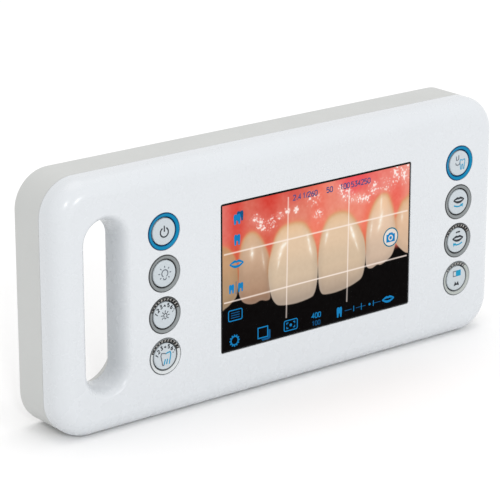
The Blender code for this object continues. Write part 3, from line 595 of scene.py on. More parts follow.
def make_rear_shell():
    outer = rim(REAR_RIM_Y, 1) + quarter(BACK_EDGE_R, BACK_Y - BACK_EDGE_R, BACK_EDGE_R, 1, 8)
    inner = [(WALL, REAR_RIM_Y), (WALL, BACK_Y - WALL)]
    obj = new_object("rear_shell", shell(outer, inner))
    inside = BACK_Y - WALL / 2
    lights = [node_centre(f"{side}_light_window").x for side in SIDES]
    added = [loft([relief_ring(REAR_RIM_Y, WALL), relief_ring(inside, WALL)])]
    added += posts(SCREW_PLACES, REAR_SCREW_POST_R, REAR_RIM_Y + GAP / 2, inside)
    added += posts(BOARD_POSTS, POST_R, MAIN_BACK_Y, inside)
    key_posts = [(x, z) for x in KEY_COLUMNS for z in (KEY_BOARD_POST_Z, -KEY_BOARD_POST_Z)]
    added += posts(key_posts, POST_R, KEY_BOARD_BACK_Y, inside)
    bracket_posts = [(DISPLAY.x, z) for z in (BRACKET_POST_Z, -BRACKET_POST_Z)]
    added += posts(bracket_posts, POST_R, BRACKET_BACK_Y, inside)
    added += [cylinder(x, 0, LIGHT_POST_R, LIGHT_WELL_Y, inside) for x in lights]
    carve(obj, joined(added), "UNION")
    rings = [relief_ring(REAR_RIM_Y - OVER), relief_ring(REAR_RIM_Y)]
    lip_y = BACK_Y - RELIEF_LIP_R + 0.01
    for step in range(13):
        angle = radians(90) * step / 12
        y = lip_y + RELIEF_LIP_R * sin(angle)
        rings.append(relief_ring(y, RELIEF_LIP_R * (1 - cos(angle)) - RELIEF_LIP_R * 0.6 * (step / 12)))
    rings.append([(x, BACK_Y + OVER, z) for x, _, z in rings[-1]])
    carve(obj, loft(rings))
    screw_hole = stepped([(SCREW_HOLE_R, REAR_RIM_Y - OVER), (3.1, 9.0)])
    light_hole = stepped([(9.6, LIGHT_WELL_Y - OVER), (8.2, BACK_Y - WALL + 0.2), (9.3, BACK_Y - 1.7)])
    lens_hole = stepped([(12.5, BACK_Y - WALL - OVER), (15.5, BACK_Y - 1.5)])
    socket_hole = [(0, -WALL - OVER), (3.2, -WALL - OVER), (3.2, -0.3), (3.6, 0.1), (3.6, OVER), (0, OVER)]
    holes = [turned(screw_hole, x, z, 48) for x, z in SCREW_PLACES]
    holes += [turned(light_hole, x, 0) for x in lights] + [turned(lens_hole, DISPLAY.x, 0)]
    socket = node_centre("charge_socket")
    holes.append(turned_to_side(socket_hole, HOUSING_HIGH.x, socket.y, socket.z))
    carve(obj, joined(holes))
    finish_piece(obj, "grey_plastic", replaces="rear_housing")


# ---- keys

KEY_COLUMNS = [node_centre(f"{side}_key_cap_1").x for side in SIDES]
KEY_PLACES = [
    (node_centre(f"{side}_key_cap_{number}").x, node_centre(f"{side}_key_cap_{number}").z)
    for side in SIDES
    for number in range(1, 5)
]
RING_KINDS = ["blue_ring", "grey_ring", "grey_ring", "pale_ring"]
RING_TOP_Y = FRONT_Y - 0.1
RING_R = 8.32
RING_BORE_R = 6.3
RING_EDGE = 0.4
RING_DISH = 0.4
FLANGE_R = 9.2
FLANGE_H = 0.8
CAP_TOP_Y = FRONT_Y - 0.25
PRINT_RISE = 0.05
PRINT_THICKNESS = 0.09
SCALE_RADII = (7.85, 6.5)
SCALE_STEPS = 40
CAP_R = 6.0
CAP_EDGE = 0.6


def cap_height(radius):
    """Depth of the cap's face at a radius: a shallow crown with a rounded edge."""
    flat = CAP_R - CAP_EDGE
    crown = CAP_TOP_Y + PRINT_RISE + 0.006 * min(radius, flat) ** 2
    if radius <= flat:
        return crown
    share = min((radius - flat) / CAP_EDGE, 1.0)
    return crown + CAP_EDGE * (1 - sqrt(1 - share * share))


def ring_height(radius):
    """Depth of a ring's face at a radius: a shallow dish that falls towards the cap."""
    return RING_TOP_Y + RING_DISH * (RING_R - RING_EDGE - radius) / (RING_R - RING_BORE_R - 2 * RING_EDGE)


def make_ring(side, number, x, z):
    flange_y = FRONT_Y + WALL + GAP
    top, outer_r, inner_r, edge = RING_TOP_Y, RING_R, RING_BORE_R, RING_EDGE
    profile = [(inner_r, top + RING_DISH + 0.9), (inner_r + 0.05, top + RING_DISH + 0.45)]
    profile += [(inner_r + edge * 0.55, top + RING_DISH + 0.12), (inner_r + edge, top + RING_DISH)]
    profile += [(outer_r - edge, top), (outer_r - edge * 0.45, top + 0.06), (outer_r - 0.04, top + 0.2)]
    profile += [(outer_r, top + 0.4), (outer_r, flange_y), (FLANGE_R, flange_y)]
    profile += [(FLANGE_R, flange_y + FLANGE_H), (inner_r, flange_y + FLANGE_H)]
    kind = RING_KINDS[number - 1]
    face = "dull_ring" if (side, number) == ("right", 4) else kind
    # All steps but the face take the darker edge colour: painted shade along the gaps inside and outside the
    # ring
    bm = turned(profile, x, z, face_step=3)
    add_piece(f"{side}_ring_{number}", bm, f"{face} {kind}_edge", kind, replaces=f"{side}_key_ring_{number}")


def make_cap(side, number, x, z):
    flange_y = FRONT_Y + WALL + 2 * GAP + FLANGE_H
    radii = [0.6 * step for step in range(10) if 0.6 * step < CAP_R - CAP_EDGE]
    radii += [CAP_R - CAP_EDGE * (1 - sin(a)) for a in (0.0, 0.4, 0.75, 1.05, 1.3, pi / 2)]
    profile = [(radius, cap_height(radius)) for radius in radii]
    node = f"{side}_key_cap_{number}"
    back_y = node_box(node)[1].y
    profile += [(CAP_R, flange_y), (CAP_R + 1.0, flange_y), (CAP_R + 1.0, back_y), (0, back_y)]
    body = f"{side}_key_{number}"
    add_piece(f"{side}_cap_{number}", turned(profile, x, z), "key_cap", body=body, replaces=node)


# ---- flat drawing
# A shape is (points, faces) in a plane: points are (x, z) and faces are lists of point numbers.


def strip(points, width, closed=False):
    """A line of even width with mitred corners."""
    line = [Vector(point) for point in points]
    count = len(line)
    runs = [(line[(n + 1) % count] - line[n]).normalized() for n in range(count if closed else count - 1)]
    verts = []
    for index, point in enumerate(line):
        first = runs[index - 1] if index or closed else runs[0]
        second = runs[min(index, len(runs) - 1)]
        normal = Vector((-first.y - second.y, first.x + second.x)).normalized()
        reach = width / 2 / max(normal.dot(Vector((-first.y, first.x))), 0.45)
        verts += [tuple(point + normal * reach), tuple(point - normal * reach)]
    pairs = [(2 * n, 2 * ((n + 1) % count)) for n in range(len(runs))]
    return verts, [[a, a + 1, b + 1, b] for a, b in pairs]


def smooth_outline(points, between=6):
    """Points of a closed Catmull-Rom curve through the given ones."""
    count = len(points)
    line = np.array(points, float)
    result = []
    for index in range(count):
        p0, p1, p2, p3 = (line[(index + shift) % count] for shift in (-1, 0, 1, 2))
        for step in range(between):
            t = step / between
            bend = (2 * p0 - 5 * p1 + 4 * p2 - p3) * t**2 + (3 * p1 - p0 - 3 * p2 + p3) * t**3
            result.append(0.5 * (2 * p1 + (p2 - p0) * t + bend))
    return np.array(result)


def arc_points(x, z, radius, start, end, steps=24):
    angles = [radians(start + (end - start) * step / steps) for step in range(steps + 1)]
    return [(x + radius * cos(a), z + radius * sin(a)) for a in angles]


def round_line(x, z, radius, width, steps=32):
    return strip(arc_points(x, z, radius, 0, 360, steps)[:-1], width, True)


def disc(x, z, radius, steps=24):
    points = arc_points(x, z, radius, 0, 360, steps)[:-1]
    return [(x, z)] + points, [[0, 1 + n, 1 + (n + 1) % steps] for n in range(steps)]


def patch(points):
    return [tuple(point) for point in points], [list(range(len(points)))]


def shifted(shapes, x, z):
    return [([(x + px, z + pz) for px, pz in points], faces) for points, faces in shapes]


def plates(bm, shapes, height_of, thickness, index):
    """Thin closed plates from shapes. height_of(x, z) gives the depth of their front."""
    for points, faces in shapes:
        front = [bm.verts.new((px, height_of(px, pz), pz)) for px, pz in points]
        back = [bm.verts.new((px, height_of(px, pz) + thickness, pz)) for px, pz in points]
        edges = dict.fromkeys(pair for face in faces for pair in zip(face, face[1:] + face[:1]))
        made = [bm.faces.new([front[n] for n in face]) for face in faces]
        made += [bm.faces.new([back[n] for n in reversed(face)]) for face in faces]
        rim_edges = [(a, b) for a, b in edges if (b, a) not in edges]
        made += [bm.faces.new((front[b], front[a], back[a], back[b])) for a, b in rim_edges]
        for face in made:
            face.material_index = index


# Strokes of each figure: across and up in turn, in hundredths of its height
DIGITS = {
    "0": [[0, 15, 0, 85, 15, 100, 45, 100, 60, 85, 60, 15, 45, 0, 15, 0, 0, 15]],
    "1": [[8, 78, 32, 100, 32, 0]],
    "2": [[0, 80, 12, 100, 48, 100, 60, 84, 60, 66, 0, 0, 62, 0]],
    "3": [[0, 100, 58, 100, 26, 60, 50, 54, 60, 36, 55, 10, 40, 0, 12, 0, 0, 14]],
    "4": [[45, 0, 45, 100, 0, 30, 64, 30]],
    "5": [[56, 100, 4, 100, 0, 56, 40, 60, 60, 42, 60, 16, 45, 0, 12, 0, 0, 12]],
    "6": [[50, 100, 12, 72, 0, 30, 12, 0, 46, 0, 60, 20, 60, 40, 44, 56, 6, 50]],
    "7": [[0, 100, 60, 100, 22, 0]],
    "8": [
        [30, 54, 6, 70, 6, 88, 20, 100, 42, 100, 54, 88, 54, 70, 30, 54],
        [30, 54, 0, 34, 0, 12, 14, 0, 46, 0, 60, 12, 60, 34, 30, 54],
    ],
    "/": [[-6, 0, 28, 100]],
    ".": [[0, 8, 20, 8]],
}


def figure(digit, x, z, height, width, turn=0.0, origin=(0.0, 0.0)):
    """One figure with its origin at (x, z), turned by an angle in radians."""
    shapes = []
    for stroke in DIGITS[digit]:
        points = []
        for px, pz in np.reshape(stroke, (-1, 2)) / 100 - origin:
            dx, dz = height * px, height * pz
            points.append((x + dx * cos(turn) - dz * sin(turn), z + dx * sin(turn) + dz * cos(turn)))
        shapes.append(strip(points, width))
    return shapes


def numerals(text, x, z, height, width):
    """Figures in a row, with the lower left corner of the first at (x, z)."""
    shapes = []
    for digit in text:
        shapes += figure(digit, x, z, height, width)
        x += height * 0.85 * (0.5 if digit in "./" else 1.0)
    return shapes


def band(outer, inner):
    """The area between two closed lines of equal point count."""
    count = len(outer)
    points = [tuple(point) for point in outer] + [tuple(point) for point in inner]
    return points, [[n, (n + 1) % count, count + (n + 1) % count, count + n] for n in range(count)]


def mirrored(top, right, below, width, height):
    """A closed outline from the height of its middle and its right half, scaled in both directions.

    It starts on the left, with the number of points given by below still to come at its end.
    """
    left = [(-x, z) for x, z in reversed(right)]
    return [(width * x, height * z) for x, z in left[below:] + [(0.0, top)] + right + left[:below]]


def lips(width, height, opening=1.0):
    """A mouth: full lips with a bow in the upper one, about a narrow opening."""
    outer = [(0.12, 0.50), (0.30, 0.36), (0.5, 0.04), (0.33, -0.28), (0.13, -0.48)]
    inner = [(0.10, 0.17), (0.24, 0.12), (0.37, 0.05), (0.26, -0.06), (0.11, -0.15)]
    outer = smooth_outline(mirrored(0.40, outer, 2, width, height), 4)
    inner = smooth_outline(mirrored(0.12, inner, 2, width, height * opening), 4)
    return band(outer, inner)


def tooth(width, height):
    """A molar with two roots."""
    right = [(0.3, 0.46), (0.85, 0.5), (1, 0.3), (0.82, -0.1), (0.66, -0.5), (0.34, -0.5), (0.18, -0.02)]
    return mirrored(0.4, right, 4, width / 2, height)


def molar(width, height):
    """A filled molar seen from the side: a square crown with a dip and two short roots."""
    right = [(0.25, 1), (0.8, 1), (1, 0.62), (0.96, -0.1), (0.84, -1), (0.34, -1), (0.22, -0.24)]
    return patch(mirrored(0.82, right, 4, width / 2, height / 2))


def bulb(radius, line, rays, reach):
    """A lamp: a round bulb with a cap below it and rays about it."""
    shapes = [strip(arc_points(0, 0.2, radius, -62, 242, 24), line)]
    base = 0.2 - 1.35 * radius
    shapes.append(strip(arc_points(0, base, 0.45 * radius, 170, 370, 10), line))
    for number in range(rays):
        angle = radians(-42 + 264 * number / (rays - 1))
        ends = [radius + part for part in reach]
        shapes.append(strip([(end * cos(angle), 0.2 + end * sin(angle)) for end in ends], line))
    return shapes


def arrow(length, line, head, towards):
    """A line that sags like a smile, with a solid head."""
    reach = towards * length / 2
    back = towards * head
    bent = [(-reach, 0.6), (-0.45 * reach, -0.05), (0.15 * reach, -0.2), (reach - 0.6 * back, 0.2)]
    return [strip(bent, line), patch([(reach, 1.0), (reach - 1.1 * back, 0.75), (reach - 0.25 * back, -0.8)])]


def arc_numerals(start, end, text, radius, height, line, lean=1.0):
    """Figures along an arc; each leans with the arc by the given share."""
    shapes = []
    for number, digit in enumerate(text):
        angle = radians(start + (end - start) * number / (len(text) - 1))
        turn = (angle - radians(90)) * lean
        shapes += figure(digit, radius * cos(angle), radius * sin(angle), height, line, turn, (0.3, 0.5))
    return shapes


def cap_drawings(side, number):
    """The dark, grey and blue marks printed on one key cap."""
    figures = arc_numerals(167, 17, "1234567", 4.66, 1.5, 0.42, 0.6)
    mouth = shifted([lips(6.9, 3.1, 0.85)], 0.1, 0.9)
    if (side, number) == ("left", 1):
        switch = [arc_points(0, -0.25, 2.1, 118, 422, 40), [(0, 2.7), (0, 0.0)]]
        return [strip(points, 0.62) for points in switch], [], []
    if (side, number) == ("left", 2):
        return [], bulb(1.6, 0.46, 7, (0.95, 1.75)), []
    if (side, number) == ("left", 3):
        return figures + shifted(bulb(0.85, 0.36, 7, (0.45, 1.45)), 0, -0.2), [], []
    if side == "left":
        outline = tooth(5.4, 5.6)
        left_half = strip([outline[n] for n in (3, 2, 1, 0, 14, 13, 12)], 0.46)
        right_half = strip(outline[3:9], 0.56)
        roots = [strip([(-1.0, -2.6), (-0.35, -0.2)], 0.6), strip([(0.35, -2.6), (0.85, -0.2)], 0.6)]
        return figures, shifted([left_half], 0.1, -1.0), shifted([right_half, *roots], 0.1, -1.0)
    if number == 1:
        prongs = [[(-2.2, 3.0), (-2.1, 1.2), (-1.5, 0.9)], [(-0.6, 3.3), (-0.7, 1.5), (-1.3, 1.0)]]
        hand = [(-2.6, -0.2), (-2.2, -1.1), (-1.2, -1.4), (-0.2, -1.0), (0.2, 0.0)]
        lines = [strip(points, 0.46) for points in (*prongs, hand)]
        return [], shifted(lines, 0.0, 0.6), shifted([strip(tooth(3.2, 4.7), 0.38, True)], 1.7, -0.7)
    if number == 2:
        return mouth, [], shifted(arrow(5.8, 0.66, 1.7, 1), 0, -2.0)
    if number == 3:
        dots = [disc(-0.8, 4.0, 0.42), disc(0.2, 4.1, 0.48), disc(1.1, 4.1, 0.42)]
        return mouth + dots, [], shifted(arrow(5.8, 0.66, 1.7, -1), 0, -2.0)
    film = [strip([(-0.2, 3.6), (-2.2, 3.6), (-2.2, 1.2), (-0.2, 1.2)], 0.42)]
    camera = [patch([(-0.5, 3.9), (2.6, 3.9), (2.6, 1.0), (-0.5, 1.0)])]
    peaks = [patch([(-1.7, -3.7), (-0.95, -1.5), (0.0, -2.7), (0.95, -1.5), (1.7, -3.7), (0.0, -3.3)])]
    return peaks, film, camera


def make_print(side, number, x, z):
    bm = bmesh.new()

    def height_of(px, pz):
        return cap_height(hypot(px - x, pz - z)) - PRINT_RISE

    for index, shapes in enumerate(cap_drawings(side, number)):
        plates(bm, shifted(shapes, x, z), height_of, PRINT_THICKNESS, index)
    inks = "dark_print grey_print blue_print"
    add_piece(f"{side}_print_{number}", bm, inks, "key_cap", body=f"{side}_key_{number}", weighted=False)


def make_scale(side, number, x, z):
    """A dark arc over the top of a ring and the light figures on it."""
    start, end, text = {"left": (18, 162, "14568024731"), "right": (26, 158, "2468013572")}[side]
    if (side, number) == ("right", 4):
        start, end, text = 48, 145, "8642086"
    outer, inner = (arc_points(0, 0, radius, start, end, SCALE_STEPS) for radius in SCALE_RADII)
    points = [point for pair in zip(outer, inner) for point in pair]
    dark = (points, [[2 * n, 2 * n + 1, 2 * n + 3, 2 * n + 2] for n in range(SCALE_STEPS)])
    margin = (end - start) / len(text) / 2
    figures = arc_numerals(end - margin, start + margin, text, 7.18, 0.76, 0.2)
    bm = bmesh.new()

    def height_of(px, pz):
        return max(ring_height(hypot(px - x, pz - z)), RING_TOP_Y)

    plates(bm, shifted([dark], x, z), lambda px, pz: height_of(px, pz) - 0.03, 0.06, 0)
    plates(bm, shifted(figures, x, z), lambda px, pz: height_of(px, pz) - 0.06, 0.06, 1)
    under = "grey_ring_edge" if (side, number) == ("right", 4) else "scale_dark"
    add_piece(f"{side}_scale_{number}", bm, f"{under} scale_light", RING_KINDS[number - 1], weighted=False)


def make_keys():
    for place, (x, z) in enumerate(KEY_PLACES):
        side, number = SIDES[place // 4], place % 4 + 1
        make_ring(side, number, x, z)
        make_cap(side, number, x, z)
        make_print(side, number, x, z)
        if number > 2:
            make_scale(side, number, x, z)


# ---- display

GLASS_LOW, GLASS_HIGH = node_box("touch_glass")
BORDER = 0.95
PICTURE_Y = GLASS_LOW.y - 0.02
SHUTTER = (0.893, 0.495)
GRID_STEP = 0.3


def across(u):
    """X of a share u of the window's width."""
    return DISPLAY.x + (u - 0.5) * WINDOW_W


def down(v):
    """Z of a share v of the window's height, measured from its top."""
    return (0.5 - v) * WINDOW_H


# The next tables place things on the window, in thousandths of its width and of its height from the top.
# Outline of each tooth, across and down in turn, clockwise from its left contact
TEETH = [
    [-50, 250, 10, 280, 42, 310, 68, 361, 82, 430, 86, 520, 84, 590, 78, 635, 58, 665, 22, 698, -50, 720],
    [88, 600, 90, 500, 91, 413, 98, 330, 110, 272, 129, 238, 152, 226, 178, 240, 203, 282, 225, 345, 243,
     413, 250, 480, 247, 560, 249, 650, 250, 705, 232, 716, 202, 704, 170, 715, 133, 705, 104, 672],
    [243, 595, 240, 510, 247, 434, 261, 362, 279, 290, 307, 245, 346, 230, 387, 230, 426, 250, 455, 305,
     476, 372, 491, 444, 498, 540, 498, 640, 492, 705, 482, 750, 462, 774, 385, 787, 307, 775, 277, 750,
     255, 690],
    [502, 640, 500, 550, 505, 444, 516, 361, 534, 297, 559, 249, 598, 231, 637, 235, 670, 262, 703, 325,
     728, 392, 748, 465, 756, 560, 752, 650, 738, 722, 708, 750, 656, 772, 592, 783, 534, 777, 515, 752,
     506, 705],
    [757, 560, 757, 465, 763, 372, 776, 299, 799, 229, 824, 190, 850, 177, 873, 190, 890, 235, 905, 302,
     915, 372, 921, 444, 922, 527, 915, 579, 899, 625, 870, 655, 840, 671, 820, 665, 792, 680, 769, 670,
     758, 635],
    [905, 500, 908, 420, 922, 360, 944, 290, 968, 250, 1050, 220, 1050, 660, 990, 637, 970, 622, 947, 590,
     926, 553],
]


def signed_distance(x, z, outline):
    """Distance from each point to an outline in millimetres, negative inside it."""
    nearest = np.full(x.shape, 1e9)
    inside = np.zeros(x.shape, bool)
    for (ax, az), (bx, bz) in zip(outline, np.roll(outline, -1, axis=0)):
        dx, dz = bx - ax, bz - az
        length = dx * dx + dz * dz + 1e-12
        share = np.clip(((x - ax) * dx + (z - az) * dz) / length, 0, 1)
        nearest = np.minimum(nearest, np.hypot(x - ax - share * dx, z - az - share * dz))
        crosses = (az > z) != (bz > z)
        inside ^= crosses & (x < ax + (z - az) * dx / (dz if abs(dz) > 1e-12 else 1e-12))
    return np.where(inside, -nearest, nearest)


def soft_noise(x, z, size, seed):
    """Smooth value noise from 0 to 1 with features of about the given size."""
    random = np.random.RandomState(seed)
    table = random.rand(128, 128)
    px, pz = x / size + 64, z / size + 64
    ix, iz = np.floor(px).astype(int), np.floor(pz).astype(int)
    fx, fz = px - ix, pz - iz
    fx, fz = fx * fx * (3 - 2 * fx), fz * fz * (3 - 2 * fz)
    corners = [table[(ix + a) % 128, (iz + b) % 128] for a, b in ((0, 0), (1, 0), (0, 1), (1, 1))]
    top = corners[0] * (1 - fx) + corners[1] * fx
    bottom = corners[2] * (1 - fx) + corners[3] * fx
    return top * (1 - fz) + bottom * fz


def step_between(value, low, high):
    share = np.clip((value - low) / (high - low), 0, 1)
    return share * share * (3 - 2 * share)


def spot(u, v, cu, cv, ru, rv, lean=0.0):
    """A soft oval about (cu, cv). Its axis leans by lean shares of width for each share of height."""
    du = (u - cu - lean * (v - cv)) / ru
    dv = (v - cv) / rv
    return np.exp(-(du * du + dv * dv))


def over(under, layer, amount):
    return under * (1 - amount[..., None]) + np.array(layer, float) * amount[..., None]


# Soft areas of the gum as place, size and display colour, which is not in thousandths
GUM_PATCHES = [
    (30, 20, 30, 100, 224, 96, 88), (0, 120, 30, 120, 228, 150, 138), (20, 220, 30, 60, 222, 112, 100),
    (70, 50, 25, 70, 212, 60, 52), (60, 200, 40, 60, 218, 78, 70), (65, 330, 25, 70, 206, 74, 56),
    (155, 70, 40, 100, 216, 108, 92), (200, 170, 40, 60, 222, 112, 98), (250, 50, 45, 100, 211, 58, 50),
    (240, 240, 30, 100, 214, 92, 76), (310, 100, 35, 80, 222, 116, 98), (370, 40, 40, 50, 212, 86, 78),
    (400, 160, 60, 50, 228, 136, 116), (450, 80, 30, 60, 222, 104, 86), (500, 130, 30, 100, 238, 112, 94),
    (500, 300, 20, 80, 240, 126, 104), (580, 140, 50, 80, 236, 142, 122), (690, 50, 50, 50, 238, 84, 92),
    (720, 200, 40, 60, 240, 142, 122), (780, 100, 30, 80, 234, 112, 104), (780, 260, 20, 80, 240, 112, 92),
    (860, 80, 30, 80, 236, 128, 116), (930, 220, 30, 100, 238, 104, 92),
    (980, 150, 30, 120, 238, 146, 130),
]
# Wet glints on the gum as place and size
GLINTS = [
    (175, 150, 22, 35), (200, 190, 22, 40), (215, 225, 12, 20), (300, 160, 22, 25), (335, 145, 14, 22),
    (385, 150, 12, 26), (620, 90, 18, 40), (650, 135, 28, 35), (700, 170, 35, 30), (750, 185, 30, 30),
    (795, 130, 26, 50), (920, 60, 26, 50), (960, 70, 30, 60), (985, 20, 20, 30),
]
# Faint single drops between the groups
DROPS = [(250, 200, 40, 60), (470, 100, 40, 60), (500, 220, 30, 50), (870, 120, 50, 60)]
# Bright streaks on the teeth as place, size, lean and strength, all in thousandths
STREAKS = [
    (157, 370, 7, 30, 0, 1000), (214, 430, 4, 45, 100, 500), (309, 385, 8, 30, -340, 1000),
    (302, 425, 6, 30, -300, 900), (294, 480, 4, 35, -150, 600), (325, 365, 8, 14, -400, 900),
    (450, 385, 5, 40, 140, 900), (459, 445, 5, 30, 160, 800), (546, 370, 6, 22, -100, 800),
    (540, 410, 4, 20, -100, 500), (678, 375, 6, 30, 220, 1000), (689, 420, 7, 30, 220, 1000),
    (704, 480, 4, 35, 220, 700), (838, 350, 7, 45, -100, 1000), (829, 400, 5, 25, -200, 900),
    (786, 400, 4, 40, -80, 600), (838, 240, 5, 50, -20, 500), (955, 375, 5, 25, 0, 500),
]
# Tint of each tooth at its neck and at its biting edge, as shares
TOOTH_TINTS = [
    ((0.89, 0.78, 0.68), (0.80, 0.76, 0.68)), ((0.95, 0.94, 0.93), (0.78, 0.67, 0.61)),
    ((1.0, 1.0, 0.98), (0.98, 0.98, 0.97)), ((1.0, 1.0, 0.98), (0.98, 0.97, 0.95)),
    ((1.03, 1.02, 1.02), (0.95, 0.93, 0.94)), ((1.0, 0.95, 0.91), (1.0, 0.96, 0.94)),
]


def gum_colour(x, z, u, v):
    colour = np.zeros(x.shape + (3,))
    total = np.zeros(x.shape)
    for *oval, red, green, blue in GUM_PATCHES:
        cu, cv, ru, rv = np.array(oval) / 1000
        weight = spot(u, v, cu, cv, ru * 1.35, rv * 1.35) + 1e-6
        colour += weight[..., None] * np.array((red, green, blue), float)
        total += weight
    colour /= total[..., None]
    mottle = 0.5 * soft_noise(x, z, 3.4, 3) + 0.5 * soft_noise(x, z, 1.1, 4) - 0.5
    colour += mottle[..., None] * np.array((8, 20, 20))
    shine = np.zeros(x.shape)
    for ovals, strength in ((GLINTS, 1.0), (DROPS, 0.45)):
        for oval in ovals:
            shine = np.maximum(shine, strength * spot(u, v, *np.array(oval) / 1000))
    colour = over(colour, (246, 184, 174), shine * 0.45)
    grains = 0.6 * soft_noise(x, z, 0.6, 5) + 0.4 * soft_noise(x, z, 1.1, 6)
    grains = step_between(grains + 0.27 * shine, 0.64, 0.92) * step_between(shine, 0.04, 0.4)
    return over(colour, (255, 238, 232), grains)


def tooth_colour(u, v, distance, neck, tip):
    """Warm by the gum, cream over the crown and greyer towards the biting edge."""
    height = np.clip((v - 0.22) / 0.55, 0, 1)
    colour = np.full(u.shape + (3,), 1.0) * np.array((234, 196, 160.0))
    layers = [((227, 199, 172), 0.02, 0.28), ((214, 191, 167), 0.30, 0.62), ((182, 163, 147), 0.66, 1.0)]
    for layer, start, end in layers:
        colour = over(colour, layer, step_between(height, start, end))
    colour *= np.array(neck) + (np.array(tip) - np.array(neck)) * height[..., None]
    inward = step_between(-distance, 0.0, 2.2)
    colour = over(colour, (222, 158, 104), (1 - inward) * 0.55 * (1 - step_between(height, 0.0, 0.55)))
    colour = over(colour, (206, 196, 190), (1 - inward) * 0.16 * step_between(height, 0.45, 0.8))
    return colour * (1 - 0.05 * (1 - step_between(-distance, 0.3, 4.5))[..., None])


def picture_colours(x, z):
    """Display colours of the live picture: gum, six teeth, the dark mouth and the framing lines."""
    u = (x - DISPLAY.x) / WINDOW_W + 0.5
    v = 0.5 - z / WINDOW_H
    colour = gum_colour(x, z, u, v)
    mouth = step_between(v, 0.545, 0.60)
    colour = over(colour, (6, 4, 4), mouth)
    near_gum = 1 - step_between(v, 0.30, 0.55)
    for number in (0, 5, 1, 4, 2, 3):
        shares = np.array(TEETH[number]).reshape(-1, 2) / 1000
        outline = smooth_outline([(across(u_share), down(v_share)) for u_share, v_share in shares])
        distance = signed_distance(x, z, outline)
        outside = np.clip(distance, 0, None)
        halo = np.exp(-outside / 1.3) * near_gum * (1 - mouth) * 0.5
        colour = over(colour, (224, 146, 100), halo)
        contact = np.exp(-outside / 0.6) * (1 - near_gum) * (1 - step_between(v, 0.50, 0.60)) * 0.6
        colour = over(colour, (178, 118, 70), contact)
        blur = 0.22 + 0.75 * near_gum
        shade = tooth_colour(u, v, distance, *TOOTH_TINTS[number])
        colour = over(colour, shade, 1 - step_between(distance, -blur, blur))
    for streak in STREAKS:
        cu, cv, ru, rv, lean, amount = np.array(streak) / 1000
        colour = over(colour, (250, 226, 200), spot(u, v, cu, cv, ru * 2.4, rv * 1.5, lean) * amount * 0.35)
        broken = 0.55 + 0.45 * step_between(soft_noise(x, z, 0.9, 9), 0.25, 0.6)
        colour = over(colour, (255, 252, 242), spot(u, v, cu, cv, ru, rv, lean) * amount * broken)
    colour += ((soft_noise(x, z, 1.2, 8) - 0.5) * 4)[..., None]
    for centre, along in ((0.338, u - 0.010 * (0.5 - v)), (0.660, u - 0.008 * (0.5 - v))):
        line = 1 - step_between(np.abs(along - centre) * WINDOW_W, 0.16, 0.50)
        colour = over(colour, (252, 236, 226), line * 0.72 * (v > 0.05) * (v < 0.87))
    for centre, along in ((0.337, v), (0.657, v + 0.008 * (u - 0.5))):
        line = 1 - step_between(np.abs(along - centre) * WINDOW_H, 0.16, 0.46)
        colour = over(colour, (254, 238, 228), line * 0.85 * (u > 0.015) * (u < 0.985))
    return np.clip(colour, 0, 255)


def make_picture():
    """A thin closed plate whose front is a fine grid with one colour for each point."""
    half_w, half_h = WINDOW_W / 2 - BORDER, WINDOW_H / 2 - BORDER
    columns, rows = int(2 * half_w / GRID_STEP) + 1, int(2 * half_h / GRID_STEP) + 1
    xs = np.linspace(DISPLAY.x - half_w, DISPLAY.x + half_w, columns)
    zs = np.linspace(half_h, -half_h, rows)
    x, z = np.meshgrid(xs, zs)
    colours = linear(picture_colours(x, z).reshape(-1, 3))
    front = np.stack([x.ravel(), np.full(x.size, PICTURE_Y), z.ravel()], axis=1)
    number = np.arange(x.size).reshape(rows, columns)
    a, b = number[:-1, :-1].ravel(), number[:-1, 1:].ravel()
    c, d = number[1:, 1:].ravel(), number[1:, :-1].ravel()
    border = np.concatenate([number[0, :-1], number[:-1, -1], number[-1, :0:-1], number[:0:-1, 0]])
    back = front[border] + np.array((0.0, 0.04, 0.0))
    points = np.concatenate([front, back])
    under = x.size + np.arange(len(border))
    following = np.roll(border, -1)
    under_following = np.roll(under, -1)
    faces = np.stack([a, d, c, b], axis=1).tolist()
    faces += np.stack([border, following, under_following, under], axis=1).tolist()
    faces.append(under.tolist())
    mesh = bpy.data.meshes.new("display_picture")
    mesh.from_pydata(((points + np.array(LIFT)) * MM).tolist(), [], faces)
    layer = mesh.color_attributes.new("picture", "FLOAT_COLOR", "POINT")
    values = np.ones((len(points), 4), np.float32)
    values[: x.size, :3] = colours
    values[x.size :, :3] = colours[border]
    layer.data.foreach_set("color", values.ravel())
    finish_piece(linked("display_picture", mesh), "live_picture", "lcd", weighted=False)


